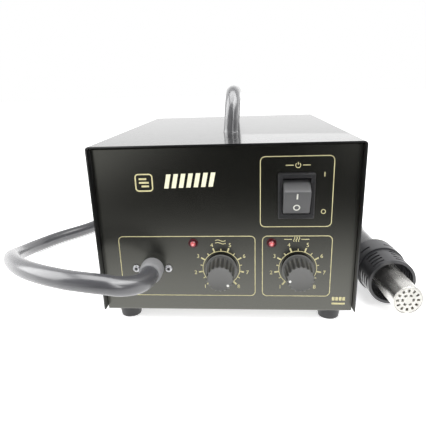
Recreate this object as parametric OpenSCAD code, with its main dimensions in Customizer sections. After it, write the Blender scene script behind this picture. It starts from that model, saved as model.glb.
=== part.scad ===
// Hot air rework station: a sheet steel case with an air pump, transformer and control board inside,
// a rocker switch and two dials on the front, and a hot air gun on an air hose beside it.
// Modelled where it stands: z = 0 is the table, +x is to the right, +y is away from the viewer.

/* [Case] */
// Width of the cover
case_w = 187; // [176:1:220]
// Depth of the cover, from front edge to rear edge
case_d = 236; // [226:1:270]
// Height of the cover, from its lower edge to its top
case_h = 124; // [114:1:150]
// Sheet thickness of the cover
cover_t = 1.0; // [0.8:0.1:1.5]
// Outer radius of the cover's folded edges
cover_fold_r = 2.5; // [2:0.1:5]
// How far the cover stands out past the front and rear panels
hood = 6; // [4:0.5:10]
// Sheet thickness of the chassis
sheet_t = 1.2; // [1:0.1:1.6]
// How far the chassis floor lies below the cover's lower edge
floor_drop = 3.2; // [2:0.2:5]
// Height of the chassis side flanges that take the cover screws
flange_h = 15; // [13:1:20]
// Head diameter of the cover screws
cover_screw_head = 5.6; // [5:0.1:7]
// Length of a ventilation slot in the sides of the cover
side_vent_len = 34; // [20:1:50]
// Number of ventilation slots in each side
side_vents = 10; // [4:1:12]
// Width of every ventilation slot
vent_w = 3; // [2:0.5:4]

/* [Feet and handle] */
// Height of the rubber feet
foot_h = 9; // [8:0.5:14]
// Diameter of a foot where it meets the floor of the case
foot_top_d = 18; // [16:0.5:22]
// Diameter of a foot where it meets the table
foot_bottom_d = 15.5; // [12:0.5:17]
// Distance of each foot's centre from the side of the case
foot_inset_x = 15.5; // [14:0.5:24]
// Distance of each foot's centre from the front or rear edge
foot_inset_y = 18; // [16:1:30]
// Diameter of the handle's bar
handle_d = 11.5; // [10:0.5:13]
// Distance between the handle's two posts
handle_span = 96; // [80:1:120]
// Height of the handle above the cover
handle_rise = 36; // [32:1:50]
// Radius of the handle's bends, along the middle of the bar
handle_bend_r = 20; // [16:1:24]
// How far the handle leans to the right, in degrees
handle_lean = 4; // [0:0.5:6]
// How far the handle stands to the right of the middle
handle_x = 3; // [0:0.5:6]
// Diameter of the handle's flared foot
handle_foot_d = 14.5; // [14.5:0.5:20]

/* [Dials] */
// Height of both dials above the table
dial_z = 44; // [42:0.5:48]
// Place of the air dial, from the middle of the case
air_x = -3.5; // [-6:0.5:0]
// Place of the heater dial, from the middle of the case
heater_x = 52; // [48:0.5:56]
// Skirt diameter of the knobs
knob_skirt_d = 23; // [21:0.5:26]
// Diameter of a knob where it leaves its skirt
knob_base_d = 20.4; // [19:0.2:21]
// Diameter of a knob at its face
knob_face_d = 19; // [17:0.2:19.6]
// How far a knob's face stands out from the panel
knob_reach = 18; // [16:0.5:22]
// Number of finger grooves round a knob
knob_grooves = 18; // [12:1:24]
// Diameter of the spindles
spindle_d = 6; // [5:0.5:6]
// Diameter of the threaded bushings that hold the controls in the panel
bushing_d = 8; // [7:0.5:8.5]
// Diameter of the control bodies behind the panel
control_d = 17; // [16:0.5:20]

/* [Indicator lamps] */
// Height of the lamps above the table
lamp_z = 64; // [62:0.5:66]
// Place of the lamp of the air dial
air_lamp_x = -23.5; // [-28:0.5:-20]
// Place of the lamp of the heater dial
heater_lamp_x = 33; // [31:0.5:36]
// Diameter of a lamp's lens
lamp_d = 4.8; // [4:0.1:5]
// Outer diameter of the ring round a lamp
lamp_ring_d = 7.2; // [7:0.1:9]

/* [Power switch] */
// Place of the switch, from the middle of the case
switch_x = 49.5; // [46:0.5:52]
// Height of the switch above the table
switch_z = 98.8; // [94:0.2:100]
// Width of the switch's bezel
bezel_w = 25.4; // [24.4:0.2:28]
// Height of the switch's bezel
bezel_h = 32.5; // [31.5:0.5:36]
// How far the bezel stands out from the panel
bezel_t = 2.5; // [2:0.1:3.5]
// Width of the rocker
rocker_w = 18.4; // [17:0.2:18.6]
// Length of the rocker from end to end
rocker_h = 23.2; // [22:0.2:24]
// How far the rocker tips each way from its middle place
rocker_tip = 18; // [14:0.5:18]

/* [Hose outlet] */
// Place of the outlet, from the middle of the case
outlet_x = -55; // [-57:0.5:-52]
// Height of the outlet above the table
outlet_z = 44; // [42:0.5:48]
// Diameter of the outlet's rubber collar
outlet_d = 17; // [16:0.5:19]
// How far the collar stands out from the panel
outlet_reach = 11; // [9:0.5:11]
// Distance between the two outlet screws
outlet_screw_span = 24.4; // [23:0.2:28]
// Outer diameter of the air hose
hose_d = 13.5; // [12:0.1:14]

/* [Hot air gun] */
// Place of the gun's tip to the right of the middle of the case
gun_x = 131.2; // [131.2:0.2:150]
// Place of the gun's tip behind the front edge of the case
gun_y = 3; // [0:0.5:20]
// How far the gun's rear end turns towards the case, in degrees
gun_turn = 4; // [0:0.5:4]
// Diameter of the steel pipe that nozzles clamp on
pipe_d = 22; // [20:0.1:23]
// Wall of the steel pipe
pipe_wall = 0.8; // [0.6:0.1:1.2]
// How far the pipe stands out of the collar
pipe_reach = 28.5; // [24:0.5:40]
// Diameter of the collar at its open mouth
collar_mouth_d = 37; // [35:0.5:38]
// Length of the slotted collar
collar_len = 22.8; // [22:0.2:30]
// Wall of the slotted collar
collar_wall = 2.2; // [1.8:0.1:2.6]
// Number of slots round the collar
collar_columns = 6; // [4:1:8]
// Number of rows of slots along the collar
collar_rows = 4; // [3:1:4]
// Width of a slot in the collar
collar_slot_w = 2; // [1.5:0.1:2.6]
// Angle that each slot spans
collar_slot_angle = 32; // [20:1:38]
// Diameter of the guard ring behind the collar
guard_d = 40.4; // [39.6:0.2:44]
// Length of the guard ring
guard_len = 20.2; // [18:0.2:26]
// Diameter of the grip at its waist
waist_d = 27; // [26:0.5:30]
// Diameter of the grip where the palm lies
palm_d = 34; // [31:0.5:37]
// Length of the grip
grip_len = 118; // [110:1:130]
// Wall of the grip
grip_wall = 2.4; // [2:0.1:3]
// Length of the tail cap behind the grip
tail_len = 8; // [7:0.5:12]
// Length of the rubber sleeve between the tail cap and the hose
boot_len = 28; // [24:1:36]

/* [Air pump] */
// Place of the pump, from the middle of the case
pump_x = -46; // [-48:0.5:-44]
// Place of the pump behind the front edge of the case
pump_y = 118; // [114:1:122]
// Width of the pump's base plate
pump_plate_w = 72; // [70:1:74]
// Thickness of the pump's base plate
pump_plate_t = 2; // [1.5:0.1:3]
// Height of the rubber mounts under the pump
pump_mount_h = 10; // [8:1:12]
// Height of the armature above the base plate
armature_rise = 26; // [26:1:30]
// Height of the iron cores
core_h = 30; // [26:1:30]
// Gap between the armature and each pole
pole_gap = 1.2; // [1:0.1:2]
// Stroke of the armature each way
armature_stroke = 1.5; // [1:0.1:2]
// Diameter of the rubber diaphragms
diaphragm_d = 46; // [42:1:47]
// Thickness of the rubber diaphragms
diaphragm_t = 2.5; // [2:0.1:3]
// Width and height of the pump heads
head_w = 50; // [48:1:51]
// Length of the pump heads
head_len = 24; // [20:1:26]

/* [Transformer] */
// Place of the transformer, from the middle of the case
trafo_x = 42; // [40:1:44]
// Gap between the transformer's winding and the rear panel
trafo_gap = 42; // [38:1:46]
// Width of the iron core
trafo_w = 66; // [60:1:70]
// Height of the iron core
trafo_h = 55; // [50:1:60]
// Thickness of the stack of plates
trafo_stack = 36; // [30:1:40]

/* [Control board] */
// Place of the board's middle, from the middle of the case
board_x = 42; // [40:1:44]
// How far the board stands behind the middle of its room, between the front feet and the transformer
board_shift = 1; // [-2:1:3]
// Width of the board
board_w = 84; // [80:1:88]
// Depth of the board
board_d = 78; // [74:1:84]
// Height of the posts under the board
post_h = 12; // [8:1:16]

/* [Power inlet] */
// Place of the inlet, from the middle of the case
inlet_x = 55; // [50:1:58]
// Height of the inlet above the table
inlet_z = 40; // [38:1:60]
// Place of the fuse holder, from the middle of the case
fuse_x = 10; // [5:1:15]
// How far the fuse cap stands out from the rear panel
fuse_reach = 11; // [10:0.5:14]

/* [Hidden] */
$fn = 48;

// Clearances: pieces that are assembled, holes that clear a screw, and spindles that turn
fit_gap = 0.1;
screw_gap = 0.15;
turn_gap = 0.05;
assembly_gap = 0.3;
over = 1;

// Heights and depths of the case
floor_top = foot_h + sheet_t;
cover_bottom = foot_h + floor_drop;
case_top = cover_bottom + case_h;
chassis_w = case_w - 2 * cover_t - 2 * assembly_gap;
chassis_top = case_top - cover_t - assembly_gap;
front_y = hood;
rear_y = case_d - hood;
chassis_bend_r = 2;
chassis_lip = 9;
flange_margin = 14;

// Cover screws, one near each lower corner
cover_screw_d = 2.5;
cover_screw_z = foot_h + flange_h * 0.6;
cover_screw_inset = 34;
cover_screw_head_t = 1.8;
cover_screw_len = 8;

// Ventilation slots
vent_pitch = 8;
side_vent_z = cover_bottom + case_h * 0.55;
rear_vent_len = 44;
rear_vent_z = cover_bottom + case_h * 0.6;
rear_vents = 9;
rear_vent_x = -42;
floor_vents = 7;
floor_vent_len = 36;

// Feet and their bolts
foot_recess_d = 8.6;
foot_recess_h = 4;
foot_bolt_d = 3.9;
foot_bolt_head_d = 7.4;
foot_bolt_head_t = 2.4;
foot_nut_af = 7;
foot_nut_t = 3.2;

// Handle
handle_post_front = case_d / 2 - handle_span / 2;
handle_top = case_top + handle_rise;
handle_foot_t = 3;
handle_screw_d = 5;
handle_screw_len = 12;
handle_screw_head_d = 9;
handle_screw_head_t = 2.6;

// Dials
knob_clear = 0.8;
knob_skirt_t = 1.8;
knob_hollow_d = 15;
knob_hollow_h = 6.4;
knob_bore_end = 2;
knob_groove_r = 1.1;
knob_dot_d = 1.9;
knob_dot_r = 7.9;
knob_dot_depth = 0.3;
air_setting = 133;
heater_setting = -103;
spindle_flat = 1.5;
spindle_end_gap = 0.3;
spindle_depth = 6;
control_len = 9.5;
bushing_len = 5.5;
control_nut_t = 2;
control_nut_af = 10;

// Lamps
lamp_ring_t = 1;
lamp_body_gap = 0.1;
lamp_ring_wall = 0.5;
lamp_depth = 6;
lamp_base_t = 1;
lamp_base_d = lamp_d + 2 * (lamp_body_gap + lamp_ring_wall);
lamp_leg_d = 0.6;
lamp_leg_len = 6;
lamp_leg_r = 1.27;

// Switch
switch_wall = 1.75;
rocker_side_gap = 0.25;
rocker_pivot_depth = 6;
rocker_pin_d = 3;
rocker_pin_len = 1.2;
rocker_face_out = 12.2;
rocker_end_slope = 2.8;
rocker_keel = 3.5;
rocker_keel_len = 14;
rocker_room = 0.9;
switch_depth = 24;
switch_cavity_depth = 13;
switch_body_w = rocker_w + 2 * rocker_side_gap + 2 * switch_wall;
switch_end_wall = 1.6;
switch_body_h = rocker_h + 2 * rocker_room + 2 * switch_end_wall;
terminal_x = 5;
terminal_z = 7;
terminal_w = 6.3;
terminal_t = 0.8;
terminal_len = 9;

// Hose outlet
outlet_lip_h = 4;
outlet_front_d = hose_d + 1;
outlet_flange_t = 2.5;
outlet_flange_w = outlet_screw_span + 10;
outlet_flange_h = 20;
outlet_tail_d = 10;
outlet_tail_len = 14;
outlet_screw_d = 2.9;
outlet_screw_head_d = 5.6;
outlet_screw_head_t = 1.6;
outlet_nut_af = 5.5;
outlet_nut_t = 2.4;

// Gun: everything is set along its own axis, counted from the tip
gun_z = guard_d / 2;
collar_start = pipe_reach;
guard_start = collar_start + collar_len;
grip_start = guard_start + guard_len;
tail_start = grip_start + grip_len;
boot_start = tail_start + tail_len;
gun_len = boot_start + boot_len;
collar_slot_front = 4.6;
collar_slot_rear = 4.1;
collar_slot_pitch = (collar_len - collar_slot_front - collar_slot_rear) / (collar_rows - 1);
collar_rear_d = collar_mouth_d + 0.8;
collar_floor_t = 2.4;
collar_first_slot = -35;
guard_wall = 2.4;
guard_slot_w = 2;
guard_slot_angle = 26;
guard_slots = 6;
guard_first_slot = -38;
guard_web_t = 3;
guard_edge = 0.8;
pipe_end = guard_start + 12;
pipe_flange_d = pipe_d + 8;
pipe_flange_t = 1.5;
pipe_neck = 0.2;
disc_t = 2;
disc_recess = 0.3;
disc_outer_holes = 12;
disc_outer_r = 7.5;
disc_inner_holes = 6;
disc_inner_r = 3.9;
former_d = 15;
former_len = 52;
former_bores = 6;
former_bore_d = 2.4;
wire_d = 0.9;
wire_turns = 9;
wire_steps = 14;
wire_sides = 6;
mica_t = 0.4;
grip_shoulder = 8;
grip_waist_end = 46;
grip_palm_at = 84;
grip_flare_end = 5;
gun_clock = -90;
butt_d = guard_d;
boot_front_d = 19;
boot_neck_d = 14;
boot_rear_d = hose_d + 1.5;
gun_screw_d = 2.4;
gun_screw_head_d = 4;
gun_screw_head_t = 1.4;

// Air hose: it leaves the outlet, bends round to the left, sinks to the table, runs behind the case
// and comes back to the rear end of the gun
hose_lead = 3;
hose_bend_r = 2 * hose_d;
hose_bend_rise = 17.3;
hose_bend = [
  for (a = [0 : 20 : 80]) [
    outlet_x - hose_bend_r * (1 - cos(a)),
    front_y - outlet_reach - hose_lead - hose_bend_r * sin(a),
    outlet_z + hose_bend_rise * (1 - cos(a)) / 2]
];
hose_points = concat(hose_bend, [
  [-89.6, -35.6, 53.2], [-105, -32.9, 53.9], [-125.2, -24.1, 53.2], [-147.3, -7.7, 49.9],
  [-171.5, 20.1, 42.8], [-190.8, 48.8, 33.8], [-207.2, 77.2, 23.5], [-218.2, 110.2, 13.6], [-217.8, 143.2, 8],
  [-205.7, 170.6, 7], [-182.9, 201, 7], [-162.3, 241, 7], [-135, 284, 7], [-114, 335, 7], [-87, 386, 7],
  [-43, 423, 7], [14, 439, 7], [69, 428, 7.5], [111, 391, 9], [129, 338, 12.5], [123, 282, 17.5],
  [gun_x - (gun_len + 16) * sin(gun_turn), gun_y + (gun_len + 16) * cos(gun_turn), gun_z]
]);
hose_start = [outlet_x, front_y - outlet_reach, outlet_z];
hose_end = [gun_x - gun_len * sin(gun_turn), gun_y + gun_len * cos(gun_turn), gun_z];
hose_steps = 3;
hose_sides = 12;

// Pump, counted from its middle
pump_plate_z = floor_top + pump_mount_h;
pump_plate_top = pump_plate_z + pump_plate_t;
armature_z = pump_plate_top + armature_rise;
core_w = 44;
core_leg_len = 16;
core_back = 7;
core_side_leg = 7;
core_middle_leg = 12;
coil_gap = 0.3;
coil_t = 8.2;
armature_t = 6;
armature_h = 24;
armature_len = 62;
armature_rod_d = 5;
pump_end_wall = 47;
pump_end_t = 3;
pump_end_w = 54;
diaphragm_window_d = 34;
clamp_d = 20;
clamp_t = 2.2;
head_cavity_d = 36;
head_cavity_h = 7;
barb_x = pump_x - outlet_x;
barb_d = 6;
barb_bore = 3.4;
barb_h = 8;
pump_mount_d = 14;
pump_mount_inset = 9;
pump_mount_screw_d = 3.8;
head_screw_d = 2.9;
head_screw_head_d = 5.5;
head_screw_head_t = 2;
head_screw_r = 20.5;
pump_half = pump_end_wall + pump_end_t + diaphragm_t + head_len;
barb_y = pump_half - head_len / 2;
barb_top = armature_z + head_w / 2 + barb_h;
tube_d = 9;
tube_bend_r = 12;

// Transformer
yoke = 11;
trafo_leg = 22;
winding_wall = 10;
trafo_y = rear_y - trafo_gap - winding_wall - trafo_stack / 2;
winding_gap = 0.2;
strap_t = 1.2;
strap_w = 30;
strap_foot = 12;
strap_screw_d = 3.8;
strap_screw_head_d = 7;
strap_screw_head_t = 2.4;

// Board and what stands on it
board_t = 1.6;
board_y = (foot_inset_y + trafo_y - trafo_stack / 2 - winding_wall) / 2 + board_shift;
board_bottom = floor_top + post_h;
board_top = board_bottom + board_t;
board_inset = 4;
post_af = 6;
post_screw_d = 2.8;
board_screw_head_d = 5.5;
board_screw_head_t = 2;
sink_w = 40;
sink_d = 18;
sink_h = 34;
sink_base = 4;
sink_fins = 7;
sink_fin_t = 1.6;
sink_y = 24;
triac_w = 10;
triac_h = 15.5;
triac_t = 4.5;
triac_lift = 4;
// Each capacitor: place from the board's middle, diameter and height
capacitor_list = [[-24, 2, 16, 26], [-24, -18, 12.5, 21], [-4, -14, 10, 16], [10, -14, 8, 12]];
block_x = 24;
block_y = 8;
block_w = 15.6;
block_d = 8;
block_h = 10;

// Power inlet, fuse holder and leads
inlet_flange_w = 50;
inlet_flange_h = 24;
inlet_flange_t = 3;
inlet_body_w = 27;
inlet_body_h = 19.6;
inlet_depth = 20;
inlet_cavity_w = 24;
inlet_cavity_h = 16.6;
inlet_cavity_depth = 16.5;
inlet_screw_span = 40;
inlet_screw_d = 2.9;
inlet_screw_head_d = 5.5;
inlet_screw_head_t = 1.8;
inlet_outline = [[-1, -1], [1, -1], [1, 0.4], [0.6, 1], [-0.6, 1], [-1, 0.4]];
pin_w = 2;
pin_h = 4;
pin_len = 11.5;
pin_tail = 8;
pin_pitch = 14;
pin_drop = 2;
fuse_z = inlet_z;
fuse_hole_d = 12;
fuse_body_d = fuse_hole_d - 2 * fit_gap;
fuse_body_len = 28;
fuse_flange_d = 17;
fuse_flange_t = 2.5;
fuse_bore_d = 9;
fuse_cap_d = 14.5;
fuse_cap_stem_d = fuse_bore_d - 4 * turn_gap;
fuse_cap_stem_len = 5;
fuse_d = 5;
fuse_len = 20;
fuse_cup = 2;
fuse_bore_len = fuse_cap_stem_len - fuse_cup + fuse_len + 0.5;
lead_d = 3;
lead_steps = 3;
lead_sides = 8;
lead_rise = 112;
lead_gap = 0.1;
lead_step = 2.5;
lead_start_y = rear_y - inlet_depth - pin_tail - lead_gap;
lead_end_y = front_y + switch_depth + terminal_len + lead_gap;
function lead_points(side) = [
  for (i = [0 : 2]) [inlet_x + side * pin_pitch / 2, lead_start_y - i * lead_step, inlet_z - pin_drop],
  [inlet_x + side * 6.5, lead_start_y - 8.5, inlet_z + 4],
  [inlet_x + side * 6, lead_start_y - 10, inlet_z + 20],
  [inlet_x + side * 5, trafo_y + 10, lead_rise - 14],
  [switch_x + side * 5, board_y + 44, lead_rise],
  [switch_x + side * 5, board_y, lead_rise],
  [switch_x + side * terminal_x, lead_end_y + 14, switch_z + terminal_z + 3],
  for (i = [2 : -1 : 0]) [switch_x + side * terminal_x, lead_end_y + i * lead_step, switch_z + terminal_z]
];

// Origin: under the middle of the box round the case and the gun
reach_left = -case_w / 2 - cover_screw_head_t;
reach_right = gun_x + guard_d / 2 * cos(gun_turn) - (guard_start + guard_edge) * sin(gun_turn);
reach_front = front_y - knob_reach;
reach_rear = max(case_d, rear_y + fuse_reach);
origin_x = (reach_left + reach_right) / 2;
origin_y = (reach_front + reach_rear) / 2;

// Small helpers

module place() { translate([-origin_x, -origin_y, 0]) children(); }

// Stands its children on the front panel: their x runs right, their y up and their z outwards
module on_front(x, z) { translate([x, front_y, z]) rotate([90, 0, 0]) children(); }

// The same on the rear panel, seen from behind
module on_rear(x, z) { translate([x, rear_y, z]) rotate([90, 0, 180]) children(); }

// Lays its children along the gun: their z runs from the tip to the hose
module along_gun() {
  translate([gun_x, gun_y, gun_z]) rotate([0, 0, gun_turn]) rotate([-90, 0, 0]) children();
}

module rounded(w, h, r) {
  square([w - 2 * r, h], center = true);
  square([w, h - 2 * r], center = true);
  for (x = [-1, 1], y = [-1, 1])
    translate([x * (w / 2 - r), y * (h / 2 - r)]) circle(r);
}

// A slot of the given overall length along x
module slot(len, wid) {
  square([len - wid, wid], center = true);
  for (side = [-1, 1]) translate([side * (len - wid) / 2, 0]) circle(wid / 2);
}

module hex_nut(af, t, bore) {
  difference() {
    cylinder(d = af / cos(30), h = t, $fn = 6);
    translate([0, 0, -over]) cylinder(d = bore, h = t + 2 * over);
  }
}

// A domed screw: its head stands on z = 0 and its shank runs down to -len
module dome_screw(d, len, head_d, head_t) {
  rim = head_t * 0.4;
  cap_h = head_t - rim;
  cap_r = (pow(head_d / 2, 2) + pow(cap_h, 2)) / (2 * cap_h);
  translate([0, 0, -len]) cylinder(d = d, h = len + rim);
  cylinder(d = head_d, h = rim);
  translate([0, 0, rim]) intersection() {
    cylinder(d = head_d, h = cap_h);
    translate([0, 0, cap_h - cap_r]) sphere(cap_r);
  }
}

function unit(v) = v / norm(v);

// A smooth line through the points p, with the given number of steps between two points
function smooth_line(p, steps) = [
  for (i = [0 : len(p) - 2], s = [0 : steps - 1])
    let (
      b = p[i], c = p[i + 1],
      a = i > 0 ? p[i - 1] : 3 * b - 3 * c + p[2],
      d = i < len(p) - 2 ? p[i + 2] : 3 * c - 3 * b + p[i - 1],
      t = s / steps
    )
    0.5 * (2 * b + (c - a) * t + (2 * a - 5 * b + 4 * c - d) * t * t
      + (3 * b - a - 3 * c + d) * t * t * t),
  p[len(p) - 1]
];

// A round tube swept along a line; ref is a direction that the line never runs in
module swept_tube(line, d, sides, ref) {
  n = len(line);
  points = [
    for (i = [0 : n - 1])
      let (
        ahead = unit(line[min(i + 1, n - 1)] - line[max(i - 1, 0)]),
        across = unit(cross(ahead, ref)),
        up = cross(across, ahead)
      )
      for (k = [0 : sides - 1])
        let (a = 360 * (k + 0.5) / sides)
        line[i] + d / 2 * (cos(a) * across + sin(a) * up)
  ];
  walls = [
    for (i = [0 : n - 2], k = [0 : sides - 1])
      let (p = i * sides + k, q = i * sides + (k + 1) % sides)
      each [[p, p + sides, q + sides], [p, q + sides, q]]
  ];
  start_cap = [for (k = [0 : sides - 1]) k];
  end_cap = [for (k = [sides - 1 : -1 : 0]) (n - 1) * sides + k];
  polyhedron(points = points, faces = concat(walls, [start_cap, end_cap]));
}

// The case

module chassis() {
  deep = rear_y - front_y;
  tall = chassis_top - foot_h;
  color([0.09, 0.09, 0.1]) place() difference() {
    intersection() {
      translate([0, rear_y + over, foot_h]) rotate([90, 0, 0]) linear_extrude(deep + 2 * over)
        rounded(chassis_w, 2 * tall, cover_fold_r - cover_t);
      chassis_sheet(deep, tall);
    }
    front_openings();
    rear_openings();
    floor_openings();
    cover_screw_places() cylinder(d = cover_screw_d + 2 * screw_gap, h = 2 * cover_screw_len, center = true);
  }
}

// The folded sheet: floor, front and rear in one, with a lip at the top and a flange on each side
module chassis_sheet(deep, tall) {
  translate([-chassis_w / 2, (front_y + rear_y) / 2, (foot_h + chassis_top) / 2])
    rotate([90, 0, 90]) linear_extrude(chassis_w) difference() {
      rounded(deep, tall, chassis_bend_r);
      rounded(deep - 2 * sheet_t, tall - 2 * sheet_t, chassis_bend_r - sheet_t);
      translate([-deep / 2 + chassis_lip, 0]) square([deep - 2 * chassis_lip, tall]);
    }
  for (side = [-1, 1])
    translate([side * (chassis_w - sheet_t) / 2, case_d / 2, foot_h + flange_h / 2])
      cube([sheet_t, deep - 2 * flange_margin, flange_h], center = true);
}

module front_openings() {
  on_front(0, 0) translate([0, 0, -sheet_t - over]) linear_extrude(sheet_t + 2 * over) {
    for (x = [air_x, heater_x]) translate([x, dial_z]) circle(d = bushing_d + 2 * fit_gap);
    for (x = [air_lamp_x, heater_lamp_x])
      translate([x, lamp_z]) circle(d = lamp_base_d + 2 * fit_gap);
    translate([switch_x, switch_z])
      square([switch_body_w + 2 * fit_gap, switch_body_h + 2 * fit_gap], center = true);
    translate([outlet_x, outlet_z]) {
      circle(d = outlet_d - 2);
      for (side = [-1, 1])
        translate([side * outlet_screw_span / 2, 0]) circle(d = outlet_screw_d + 2 * screw_gap);
    }
  }
}

module rear_openings() {
  on_rear(0, 0) translate([0, 0, -sheet_t - over]) linear_extrude(sheet_t + 2 * over) {
    for (i = [0 : rear_vents - 1])
      translate([-rear_vent_x + (i - (rear_vents - 1) / 2) * vent_pitch, rear_vent_z])
        rotate(90) slot(rear_vent_len, vent_w);
    translate([-inlet_x, inlet_z]) {
      square([inlet_body_w + 2 * fit_gap, inlet_body_h + 2 * fit_gap], center = true);
      for (side = [-1, 1])
        translate([side * inlet_screw_span / 2, 0]) circle(d = inlet_screw_d + 2 * screw_gap);
    }
    translate([-fuse_x, fuse_z]) circle(d = fuse_hole_d);
  }
}

module floor_openings() {
  translate([0, 0, foot_h - over]) linear_extrude(sheet_t + 2 * over) {
    foot_places() circle(d = foot_bolt_d + 2 * screw_gap);
    pump_mount_places() circle(d = pump_mount_screw_d + 2 * screw_gap);
    strap_screw_places() circle(d = strap_screw_d + 2 * screw_gap);
    post_places() circle(d = post_screw_d + 2 * screw_gap);
    for (i = [0 : floor_vents - 1])
      translate([board_x + (i - (floor_vents - 1) / 2) * vent_pitch, board_y])
        rotate(90) slot(floor_vent_len, vent_w);
  }
}

module cover() {
  color([0.05, 0.05, 0.055]) place() difference() {
    translate([0, case_d, cover_bottom]) rotate([90, 0, 0]) linear_extrude(case_d) difference() {
      rounded(case_w, 2 * case_h, cover_fold_r);
      rounded(case_w - 2 * cover_t, 2 * (case_h - cover_t), cover_fold_r - cover_t);
      translate([-case_w, -2 * case_h]) square([2 * case_w, 2 * case_h]);
    }
    for (i = [0 : side_vents - 1])
      translate([-case_w, case_d / 2 + (i - (side_vents - 1) / 2) * vent_pitch, side_vent_z])
        rotate([90, 0, 90]) linear_extrude(2 * case_w) rotate(90) slot(side_vent_len, vent_w);
    cover_screw_places() cylinder(d = cover_screw_d + 2 * screw_gap, h = 2 * cover_screw_len, center = true);
    for (y = handle_posts())
      translate([handle_x, y, case_top - cover_t - over])
        cylinder(d = handle_screw_d + 2 * screw_gap, h = cover_t + 2 * over);
  }
}

// The cover screws' places: z points out of the side of the case
module cover_screw_places() {
  for (side = [-1, 1], y = [cover_screw_inset, case_d - cover_screw_inset])
    translate([side * case_w / 2, y, cover_screw_z]) rotate([0, side * 90, 0]) children();
}

module cover_screws() {
  color([0.12, 0.12, 0.13]) place() cover_screw_places()
    dome_screw(cover_screw_d, cover_screw_len, cover_screw_head, cover_screw_head_t);
}

module foot_places() {
  for (side = [-1, 1], y = [foot_inset_y, case_d - foot_inset_y])
    translate([side * (case_w / 2 - foot_inset_x), y]) children();
}

module rubber_feet() {
  color([0.06, 0.06, 0.06]) place() foot_places() difference() {
    cylinder(d1 = foot_bottom_d, d2 = foot_top_d, h = foot_h);
    translate([0, 0, -over]) cylinder(d = foot_recess_d, h = foot_recess_h + over);
    cylinder(d = foot_bolt_d + 2 * screw_gap, h = foot_h + over);
  }
}

module foot_bolts() {
  color([0.7, 0.7, 0.72]) place() foot_places() {
    translate([0, 0, foot_recess_h]) rotate([180, 0, 0])
      dome_screw(foot_bolt_d, floor_top + foot_nut_t + 1 - foot_recess_h, foot_bolt_head_d, foot_bolt_head_t);
    translate([0, 0, floor_top]) hex_nut(foot_nut_af, foot_nut_t, foot_bolt_d);
  }
}

function handle_posts() = [(case_d - handle_span) / 2, (case_d + handle_span) / 2];

module carry_handle() {
  bar_z = handle_rise - handle_d / 2;
  straight_h = bar_z - handle_bend_r;
  sunk = handle_foot_d * sin(handle_lean) + 1;
  color([0.03, 0.03, 0.03]) place() translate([handle_x, 0, case_top]) difference() {
    rotate([0, handle_lean, 0]) {
      for (side = [0, 1]) translate([0, handle_posts()[side], -sunk]) {
        cylinder(d = handle_d, h = straight_h + sunk);
        cylinder(d = handle_foot_d, h = sunk);
        translate([0, 0, sunk]) cylinder(d1 = handle_foot_d, d2 = handle_d, h = handle_foot_t);
      }
      for (side = [0, 1])
        translate([0, handle_posts()[side] + (side == 0 ? 1 : -1) * handle_bend_r, straight_h])
          rotate([90, 0, side == 0 ? -90 : 90]) rotate_extrude(angle = 90)
            translate([handle_bend_r, 0]) circle(d = handle_d);
      translate([0, handle_posts()[0] + handle_bend_r, bar_z]) rotate([-90, 0, 0])
        cylinder(d = handle_d, h = handle_span - 2 * handle_bend_r);
    }
    translate([-handle_foot_d, 0, -4 * sunk]) cube([2 * handle_foot_d, case_d, 4 * sunk]);
    for (y = handle_posts()) translate([0, y, -over])
      cylinder(d = handle_screw_d + 2 * screw_gap, h = handle_screw_len + 1 + over);
  }
}

module handle_screws() {
  color([0.7, 0.7, 0.72]) place() for (y = handle_posts())
    translate([handle_x, y, case_top - cover_t]) rotate([180, 0, 0])
      dome_screw(handle_screw_d, cover_t + handle_screw_len, handle_screw_head_d, handle_screw_head_t);
}

// Front panel: power switch

module switch_housing() {
  hole_w = rocker_w + 2 * rocker_side_gap;
  hole_h = rocker_h + 2 * rocker_room;
  color([0.05, 0.05, 0.05]) place() on_front(switch_x, switch_z) difference() {
    union() {
      linear_extrude(bezel_t * 0.6) rounded(bezel_w, bezel_h, 1.2);
      translate([0, 0, bezel_t * 0.6]) linear_extrude(bezel_t * 0.4)
        rounded(bezel_w - 1.2, bezel_h - 1.2, 0.9);
      translate([0, 0, -switch_depth / 2])
        cube([switch_body_w, switch_body_h, switch_depth], center = true);
    }
    translate([-hole_w / 2, -hole_h / 2, -switch_cavity_depth])
      cube([hole_w, hole_h, switch_cavity_depth + bezel_t + over]);
    translate([0, 0, -rocker_pivot_depth]) rotate([0, 90, 0])
      cylinder(d = rocker_pin_d + 2 * turn_gap, h = hole_w + 2 * rocker_pin_len, center = true);
  }
}

module switch_rocker() {
  end = rocker_h / 2;
  face = end - rocker_end_slope;
  keel = rocker_keel_len / 2;
  pin_span = rocker_w + 2 * (rocker_side_gap + rocker_pin_len) - 0.4;
  color([0.07, 0.07, 0.07]) place() on_front(switch_x, switch_z)
    translate([0, 0, -rocker_pivot_depth]) rotate([rocker_tip, 0, 0]) {
      rotate([90, 0, 90]) linear_extrude(rocker_w, center = true) polygon([
        [-face, rocker_face_out], [face, rocker_face_out], [end, 0],
        [keel, -rocker_keel], [-keel, -rocker_keel], [-end, 0]
      ]);
      rotate([0, 90, 0]) cylinder(d = rocker_pin_d, h = pin_span, center = true);
    }
}

module switch_terminals() {
  color([0.8, 0.7, 0.4]) place() on_front(switch_x, switch_z)
    for (x = [-1, 1], y = [-1, 1])
      translate([x * terminal_x, y * terminal_z, -switch_depth - terminal_len / 2]) difference() {
        cube([terminal_t, terminal_w, terminal_len], center = true);
        translate([0, 0, -terminal_len * 0.2]) rotate([0, 90, 0])
          cylinder(d = 1.6, h = 2 * terminal_t, center = true);
      }
}

// Front panel: the two dials

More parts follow.
